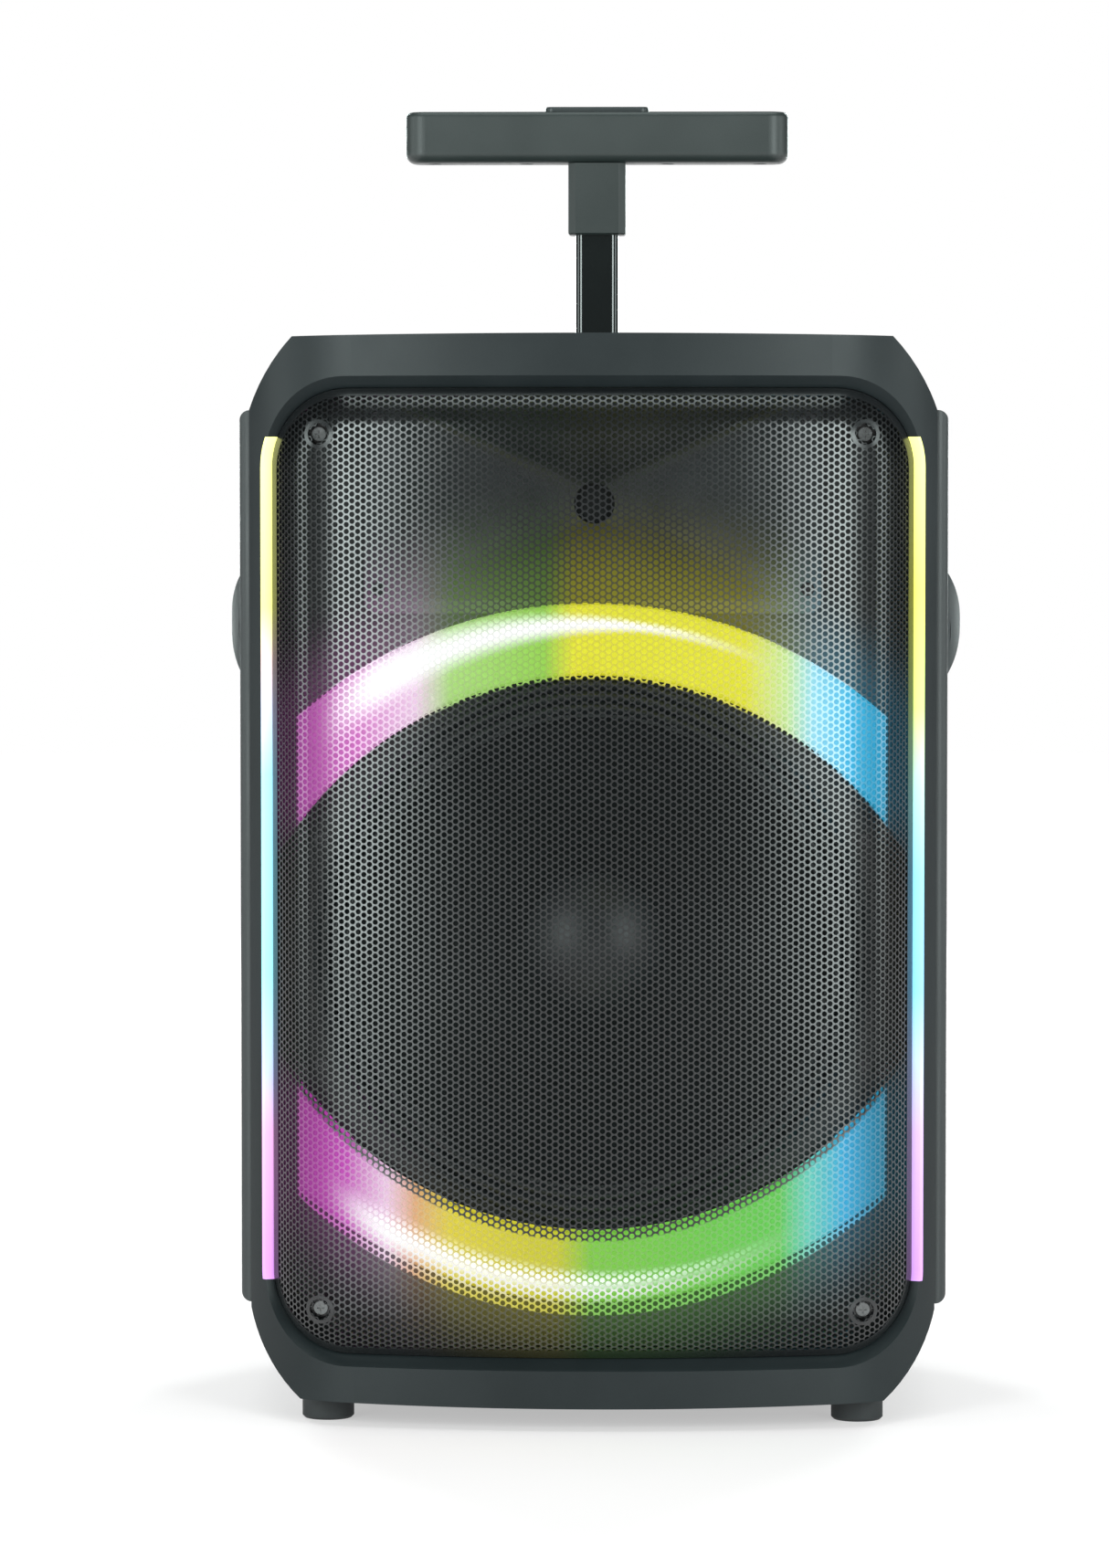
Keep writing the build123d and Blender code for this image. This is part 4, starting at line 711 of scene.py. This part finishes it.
# rim and skirt round the perforated sheet: rings of points following the outline, each a little further in
def outlinePoint(step, count, inwards):
    half, high, corner = grille["half"], grilleHigh, grille["corner"]
    straightX, straightZ, quarter = half - corner, high - corner, corner * math.pi / 2
    total = 4 * (straightX + straightZ + quarter)
    run = step / count * total
    legs = [(straightZ, (1, 0), (0, 1)), (quarter, None, None), (2 * straightX, (0, 1), (-1, 0)),
            (quarter, None, None), (2 * straightZ, (-1, 0), (0, -1)), (quarter, None, None),
            (2 * straightX, (0, -1), (1, 0)), (quarter, None, None), (straightZ, (1, 0), (0, 1))]
    starts = [(half, 0), None, (straightX, high), None, (-half, straightZ), None, (-straightX, -high), None,
              (half, -straightZ)]
    centres = [None, (straightX, straightZ, 0), None, (-straightX, straightZ, 90), None,
               (-straightX, -straightZ, 180), None, (straightX, -straightZ, 270), None]
    for leg, start, centre in zip(legs, starts, centres):
        if run <= leg[0] + 1e-9:
            break
        run -= leg[0]
    if centre:
        angle = math.radians(centre[2]) + run / corner
        outX, outZ = math.cos(angle), math.sin(angle)
        x, z = centre[0] + corner * outX, centre[1] + corner * outZ
    else:
        outX, outZ = leg[1]
        x, z = start[0] + leg[2][0] * run, start[1] + leg[2][1] * run
    width = grille["rimSide"] + (grille["rimTop"] - grille["rimSide"]) * abs(outZ)
    return x - outX * inwards * width, grilleMiddle + z - outZ * inwards * width


def makeRim():
    count = 320
    rings = []
    for inwards, lift, back in ((0.0, 0.0, grille["skirt"]), (0.0, 1.0, 0.0), (0.25, 1.0, 0.0),
                                (0.5, 1.0, 0.0), (0.75, 1.0, 0.0), (1.0, 1.0, 0.0), (1.0, -2.4, 0.0),
                                (0.3, -5.0, 0.0), (0.3, 0.0, grille["skirt"])):
        spots = np.array([outlinePoint(step, count, inwards) for step in range(count)])
        x, z = spots[:, 0], spots[:, 1]
        points = np.stack([x, frontAt(x, z) + back, z], -1) + frontNormal(x, z) * grille["rimProud"] * lift
        rings.append(points)
    points = np.concatenate(rings)
    faces = []
    for ring in range(len(rings)):
        following = (ring + 1) % len(rings)
        for step in range(count):
            after = (step + 1) % count
            faces.append((ring * count + step, ring * count + after, following * count + after,
                          following * count + step))
    deselectAll()
    bpy.ops.mesh.primitive_plane_add(size=1)
    rim = newest("grilleRim")
    rim.data.clear_geometry()
    rim.data.from_pydata(points.tolist(), [], faces)
    editMode(rim)
    bpy.ops.mesh.select_all(action="SELECT")
    bpy.ops.mesh.normals_make_consistent(inside=False)
    objectMode()
    smoothByAngle(rim, 40)
    return finishPiece(rim, grillePaint, "speaker")


makeRim()
cup = {"screw": 0.0022, "floor": 0.0058, "mouth": 0.0066, "flange": 0.0088, "proud": 0.0002, "wall": 0.0010}


# a pressed cup round each grille screw, whose flange follows the bowed front
def makeCup(number, x, z):
    faceY = float(frontAt(np.array([x]), np.array([z]))[0])
    floorY = faceY + grille["cupDepth"]
    frontY = faceY - cup["proud"]
    profile = [(cup["screw"], floorY), (cup["floor"], floorY), (cup["mouth"], frontY),
               (cup["flange"], frontY), (cup["flange"], frontY + cup["wall"]),
               (cup["mouth"] + cup["wall"], frontY + cup["wall"]),
               (cup["floor"] + cup["wall"], floorY + cup["wall"]), (cup["screw"], floorY + cup["wall"])]
    piece = addTurned("cup" + str(number), profile, (x, 0, z), steps=32)
    points = readPoints(piece.data)
    onFace = points[:, 1] < faceY + 2 * cup["wall"]
    points[onFace, 1] += frontAt(points[onFace, 0], points[onFace, 2]) - faceY
    piece.data.vertices.foreach_set("co", points.ravel())
    piece.data.update()
    return piece


cups = [makeCup(number, x, z) for number, (x, z) in enumerate(screwSpots)]
finishPiece(joinUp("screwCups", cups), grillePaint, "speaker")
print("grille rim and screw cups made")

# ---- woofer surround: three soft rolls that follow the cone
surround = {
    "inner": 0.146,
    "outer": 0.168,
    "rolls": 3,
    "rise": 0.0040,
    "thick": 0.0006,
    "outerY": -0.0007,
    "innerY": 0.0013,
    "lip": 0.004,
    "steps": 36,
}


def makeSurround():
    baffle = body["baffleY"]
    width = surround["outer"] - surround["inner"]
    top = [(surround["outer"] + surround["lip"], baffle + surround["outerY"])]
    for step in range(surround["steps"] + 1):
        share = step / surround["steps"]
        wave = abs(math.sin(math.pi * surround["rolls"] * share)) ** 0.8
        sink = (surround["innerY"] - surround["outerY"]) * share ** 2
        top.append((surround["outer"] - width * share,
                    baffle + surround["outerY"] + sink - surround["rise"] * wave))
    top.append((surround["inner"] - surround["lip"] / 2, baffle + surround["innerY"]))
    under = [(radius, y + surround["thick"]) for radius, y in reversed(top)]
    piece = addTurned("wooferSurround", top + under, (0, 0, body["wooferZ"]), steps=128)
    finishPiece(piece, surroundCloth, None, ["woofer_surround"])
    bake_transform(piece)


makeSurround()
print("surround made")

# ---- rear panel: pointers, scales, key symbols, digits and contact rings
markPaint = mottled("markPaint", (0.50, 0.52, 0.52), (0.62, 0.64, 0.64), (0.45, 0.6), patch=200,
                    grainDepth=0.0)
digitGlow = litDiffuser("digitGlow", [(0.0, (90, 215, 235)), (0.5, (120, 230, 245)), (1.0, (90, 215, 235))],
                        "X", -0.03, 0.03, 2.2)
knobPips = {"volume": 11, "bass": 7, "treble": 7, "mic": 7}
marks = {
    "pointer": 0.0011,
    "pointerRise": 0.0003,
    "pip": 0.0007,
    "pipGap": 0.0036,
    "turn": 145,
    "trayFloor": 0.145,
    "symbol": 0.0021,
    "symbolRise": 0.00025,
}


def nodeBox(name):
    low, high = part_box(name)
    return Vector(low), Vector(high)


for bodyName, pipCount in knobPips.items():
    low, high = nodeBox(bodyName + "_knob")
    centre = (low + high) / 2
    radius = (high.x - low.x) / 2
    pointer = addBlock(bodyName + "Pointer",
                       (centre.x - marks["pointer"] / 2, high.y - 0.0004, centre.z + radius * 0.42),
                       (centre.x + marks["pointer"] / 2, high.y + marks["pointerRise"],
                        centre.z + radius * 0.86), 0.00012)
    finishPiece(pointer, markPaint, bodyName)
    pips = []
    for step in range(pipCount):
        angle = math.radians(marks["turn"] * (2 * step / (pipCount - 1) - 1))
        reach = radius + marks["pipGap"]
        spot = (centre.x + reach * math.sin(angle), marks["trayFloor"] + 0.0001,
                centre.z + reach * math.cos(angle))
        ends = step in (0, pipCount - 1)
        pips.append(addDisc(bodyName + "Pip" + str(step), spot, marks["pip"] * (1.5 if ends else 1), 0.0004,
                            sides=14))
    finishPiece(joinUp(bodyName + "Scale", pips), markPaint, "speaker")


# a flat arrowhead on a key, pointing left or right as seen from behind
def addArrow(name, x, z, y, points):
    deselectAll()
    bpy.ops.mesh.primitive_cylinder_add(vertices=3, radius=marks["symbol"], depth=marks["symbolRise"] * 2,
                                        location=(x, y, z),
                                        rotation=(math.pi / 2, math.radians(90 * points), 0))
    return settle(newest(name))


def addKeySymbols():
    for bodyName in ("play", "back", "next", "light"):
        low, high = nodeBox(bodyName + "_key")
        centre = (low + high) / 2
        y = high.y
        size = marks["symbol"]
        bar = (0.0004, size * 0.85)
        parts = []
        if bodyName == "play":
            parts.append(addArrow("playArrow", centre.x + size * 0.8, centre.z, y, -1))
            for shift in (-0.7, -1.5):
                parts.append(addBlock("playBar",
                                      (centre.x + shift * size - bar[0], y - 0.0003, centre.z - bar[1]),
                                      (centre.x + shift * size + bar[0], y + marks["symbolRise"],
                                       centre.z + bar[1])))
        elif bodyName == "light":
            parts.append(addDisc("lightDot", (centre.x, y, centre.z), size * 0.55, marks["symbolRise"] * 2,
                                 sides=20))
            for ray in range(8):
                angle = math.tau * ray / 8
                spot = (centre.x + size * 1.1 * math.cos(angle), y, centre.z + size * 1.1 * math.sin(angle))
                parts.append(addDisc("lightRay" + str(ray), spot, 0.0003, marks["symbolRise"] * 2,
                                     sides=10))
        else:
            points = 1 if bodyName == "back" else -1
            for shift in (-0.75, 0.75):
                parts.append(addArrow(bodyName + "Arrow", centre.x + shift * size, centre.z, y, points))
            edge = centre.x + points * size * 1.75
            parts.append(addBlock(bodyName + "Bar", (edge - bar[0], y - 0.0003, centre.z - bar[1]),
                                  (edge + bar[0], y + marks["symbolRise"], centre.z + bar[1])))
        finishPiece(joinUp(bodyName + "Symbol", parts), markPaint, bodyName)


addKeySymbols()


# four seven-bar digits on the display, which reads right way round from behind
def addDigits():
    digits = {"high": 0.0125, "wide": 0.0070, "bar": 0.0012, "gap": 0.0034,}
    lit = {"1": "bc", "0": "abcdef", "5": "afgcd"}
    low, high = nodeBox("display_window")
    y = high.y + 0.0001
    middleZ = (low.z + high.z) / 2
    parts = []
    text = "1050"
    span = len(text) * digits["wide"] + (len(text) - 1) * digits["gap"]
    for place, digit in enumerate(text):
        right = span / 2 - place * (digits["wide"] + digits["gap"])
        left = right - digits["wide"]
        top, base, bar = middleZ + digits["high"] / 2, middleZ - digits["high"] / 2, digits["bar"]
        boxes = {
            "a": (left + bar, right - bar, top - bar, top),
            "d": (left + bar, right - bar, base, base + bar),
            "g": (left + bar, right - bar, middleZ - bar / 2, middleZ + bar / 2),
            "f": (right - bar, right, middleZ + bar, top - bar * 0.7),
            "b": (left, left + bar, middleZ + bar, top - bar * 0.7),
            "e": (right - bar, right, base + bar * 0.7, middleZ - bar),
            "c": (left, left + bar, base + bar * 0.7, middleZ - bar),
        }
        for key in lit[digit]:
            x0, x1, z0, z1 = boxes[key]
            parts.append(addBlock("bar" + key, (x0, y - 0.0003, z0), (x1, y + 0.0001, z1)))
    finishPiece(joinUp("displayDigits", parts), digitGlow, "speaker")


addDigits()


# bright collars round the jack and line sockets
def addSocketRings():
    sockets = {"jackX": (-0.062, -0.040), "lineX": (-0.014, 0.004), "z": 0.460, "jack": 0.0050,
               "line": 0.0042, "out": 0.0013}
    rings = []
    for x in sockets["jackX"] + sockets["lineX"]:
        bore = sockets["jack"] if x in sockets["jackX"] else sockets["line"]
        profile = [(bore + 0.0002, 0.0), (bore + 0.0002, sockets["out"]), (bore + 0.0012, sockets["out"]),
                   (bore + 0.0019, 0.0)]
        rings.append(addTurned("ring", profile, (x, marks["trayFloor"] + 0.0001, sockets["z"]), steps=32))
    finishPiece(joinUp("socketRings", rings), brightSteel, "speaker")


addSocketRings()
print("rear panel marked")

# ---- tyres: round shoulders and three grooves
tyre = {
    "inner": 0.0312,
    "groove": 0.0011,
    "grooveMouth": 0.0010,
    "grooveFloor": 0.0006,
    "shoulderDrop": 0.0022,
    "crownDrop": 0.0004,
    "crownShare": 0.86,
    "grooveShare": 0.4,
    "steps": 88,
}


def makeTyre(side):
    node = "wheel_tyre_" + side
    low, high = nodeBox(node)
    centre = (low + high) / 2
    half = (high.x - low.x) / 2
    radius = (high.z - low.z) / 2
    inner, shoulder, crown = tyre["inner"], radius - tyre["shoulderDrop"], radius - tyre["crownDrop"]
    flat = half * tyre["crownShare"]
    floor = radius - tyre["groove"]
    outline = [(inner, -flat), (shoulder, -half), (crown, -flat)]
    for middle in (-half * tyre["grooveShare"], 0, half * tyre["grooveShare"]):
        outline += [(radius, middle - tyre["grooveMouth"]), (floor, middle - tyre["grooveFloor"]),
                    (floor, middle + tyre["grooveFloor"]), (radius, middle + tyre["grooveMouth"])]
    outline += [(crown, flat), (shoulder, half), (inner, flat)]
    piece = addTurned(side + "Tyre", outline, centre, along="X", steps=tyre["steps"])
    finishPiece(piece, tyreRubber, side + "_wheel", [node])


for side in ("left", "right"):
    makeTyre(side)
print("tyres made")

# ---- rest pads for the folded handle: low lens-shaped humps
restPads = {"x": 0.073, "long": 0.0175, "wide": 0.0105, "rise": 0.0036, "sunk": 0.0006}


def makeRestPads():
    low, high = nodeBox("rest_pads")
    y = (low.y + high.y) / 2
    pads = []
    for sign in (-1, 1):
        deselectAll()
        bpy.ops.mesh.primitive_uv_sphere_add(segments=40, ring_count=20, radius=1,
                                             location=(sign * restPads["x"], y,
                                                       body["top"] - restPads["sunk"]))
        pad = newest("pad")
        pad.scale = (restPads["long"], min(restPads["wide"], (high.y - low.y) / 2),
                     restPads["rise"] + restPads["sunk"])
        settle(pad)
        editMode(pad)
        bpy.ops.mesh.select_all(action="SELECT")
        bpy.ops.mesh.bisect(plane_co=(0, 0, body["top"] - restPads["sunk"]), plane_no=(0, 0, 1),
                            clear_inner=True, use_fill=True)
        objectMode()
        pads.append(smoothByAngle(pad, 40))
    finishPiece(joinUp("restPads", pads), plastic, "speaker", ["rest_pads"])


makeRestPads()

# ---- spring under the release button, a fixed coil between the grip and the button
spring = {"wire": 0.0006, "turns": 5, "stepsPerTurn": 22, "sides": 10}


def makeSpring():
    low, high = nodeBox("release_spring")
    middleY = (low.y + high.y) / 2
    reach = (high.x - low.x) / 2 - spring["wire"]
    deselectAll()
    bpy.ops.mesh.primitive_circle_add(vertices=spring["sides"], radius=spring["wire"],
                                      location=(0, middleY, low.z + spring["wire"]),
                                      rotation=(math.pi / 2, 0, 0))
    coil = newest("releaseSpring")
    bpy.ops.object.transform_apply(location=False, rotation=True, scale=True)
    editMode(coil)
    bpy.ops.mesh.select_all(action="SELECT")
    bpy.ops.transform.translate(value=(reach, 0, 0))
    objectMode()
    applyModifier(coil, "SCREW", axis="Z", angle=math.tau * spring["turns"],
                  steps=spring["stepsPerTurn"] * spring["turns"],
                  render_steps=spring["stepsPerTurn"] * spring["turns"],
                  screw_offset=high.z - low.z - 2 * spring["wire"])
    settle(coil)
    editMode(coil)
    bpy.ops.mesh.select_all(action="SELECT")
    bpy.ops.mesh.fill_holes(sides=spring["sides"] + 2)
    bpy.ops.mesh.select_all(action="SELECT")
    bpy.ops.mesh.normals_make_consistent(inside=False)
    objectMode()
    smoothByAngle(coil, 50)
    finishPiece(coil, brightSteel, None, ["release_spring"])
    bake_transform(coil)


makeSpring()

# ---- floor, lights and camera
studio = {"floorRadius": 9.0, "floorShade": (0.56, 0.50, 0.505, 1), "near": 1.1, "far": 3.2,
          "nearLift": 0.45, "farLift": 0.93, "air": 0.13, "lampColour": (0.88, 1.0, 0.985)}


def makeFloor():
    deselectAll()
    bpy.ops.mesh.primitive_circle_add(vertices=96, radius=studio["floorRadius"], fill_type="NGON")
    floor = newest("studioFloor")
    pale = bpy.data.materials.new("paleFloor")
    pale.use_nodes = True
    shader = pale.node_tree.nodes["Principled BSDF"]
    shader.inputs["Base Color"].default_value = studio["floorShade"]
    shader.inputs["Roughness"].default_value = 0.9
    shader.inputs["Specular IOR Level"].default_value = 0.05
    shader.inputs["Emission Color"].default_value = (1, 1, 1, 1)
    where = pale.node_tree.nodes.new("ShaderNodeTexCoord")
    reach = pale.node_tree.nodes.new("ShaderNodeVectorMath")
    reach.operation = "LENGTH"
    pale.node_tree.links.new(where.outputs["Object"], reach.inputs[0])
    lift = addRange(pale.node_tree, reach.outputs["Value"], studio["near"], studio["far"],
                    studio["nearLift"], studio["farLift"], True)
    pale.node_tree.links.new(lift, shader.inputs["Emission Strength"])
    floor.data.materials.append(pale)


makeFloor()


def addSoftbox(name, place, target, width, height, watts):
    light = bpy.data.lights.new(name, "AREA")
    light.shape = "RECTANGLE"
    light.size = width
    light.size_y = height
    light.energy = watts
    light.color = studio["lampColour"]
    lamp = bpy.data.objects.new(name, light)
    bpy.context.scene.collection.objects.link(lamp)
    lamp.location = place
    lamp.rotation_euler = (Vector(target) - Vector(place)).to_track_quat("-Z", "Y").to_euler()
    return lamp


# place and size of each soft box, its power in watts; pairs stand on both sides
lamps = {
    "Box": {"place": (1.75, -2.6, 0.85), "target": (0, -0.1, 0.42), "size": (1.05, 2.0), "watts": 70},
    "Flank": {"place": (2.7, -0.5, 0.9), "target": (0, 0, 0.4), "size": (1.0, 1.6), "watts": 18},
    "Rear": {"place": (1.3, 3.1, 1.3), "target": (0, 0.1, 0.4), "size": (0.9, 1.7), "watts": 85},
}
for sign, side in ((-1, "left"), (1, "right")):
    for kind, lamp in lamps.items():
        across, back, up = lamp["place"]
        addSoftbox(side + kind, (sign * across, back, up), lamp["target"], *lamp["size"], lamp["watts"])
addSoftbox("topBox", (0, -0.2, 2.9), (0, 0.0, 0.4), 2.4, 1.8, 42)

# white all round as seen, dimmer as a lamp, so that the dark finishes keep their depth
world = bpy.data.worlds.new("studioAir")
bpy.context.scene.world = world
world.use_nodes = True
worldTree = world.node_tree
background = worldTree.nodes["Background"]
background.inputs[0].default_value = (1.0, 1.0, 1.0, 1)
sight = worldTree.nodes.new("ShaderNodeLightPath")
worldTree.links.new(addRange(worldTree, sight.outputs["Is Camera Ray"], 0, 1, studio["air"], 1.0),
                    background.inputs[1])

camera = {"place": (0.055, -3.665, 0.57), "aim": (-0.022, -0.157, 0.393), "fieldDegrees": 15.3}
cameraData = bpy.data.cameras.new("camera")
cameraData.lens = cameraData.sensor_width / (2 * math.tan(math.radians(camera["fieldDegrees"]) / 2))
cameraPiece = bpy.data.objects.new("camera", cameraData)
bpy.context.scene.collection.objects.link(cameraPiece)
cameraPiece.location = camera["place"]
cameraPiece.rotation_euler = (Vector(camera["aim"]) - Vector(camera["place"])).to_track_quat("-Z",
                                                                                             "Y").to_euler()
bpy.context.scene.camera = cameraPiece
bpy.context.scene.view_settings.view_transform = "Standard"
print("lights and camera set")
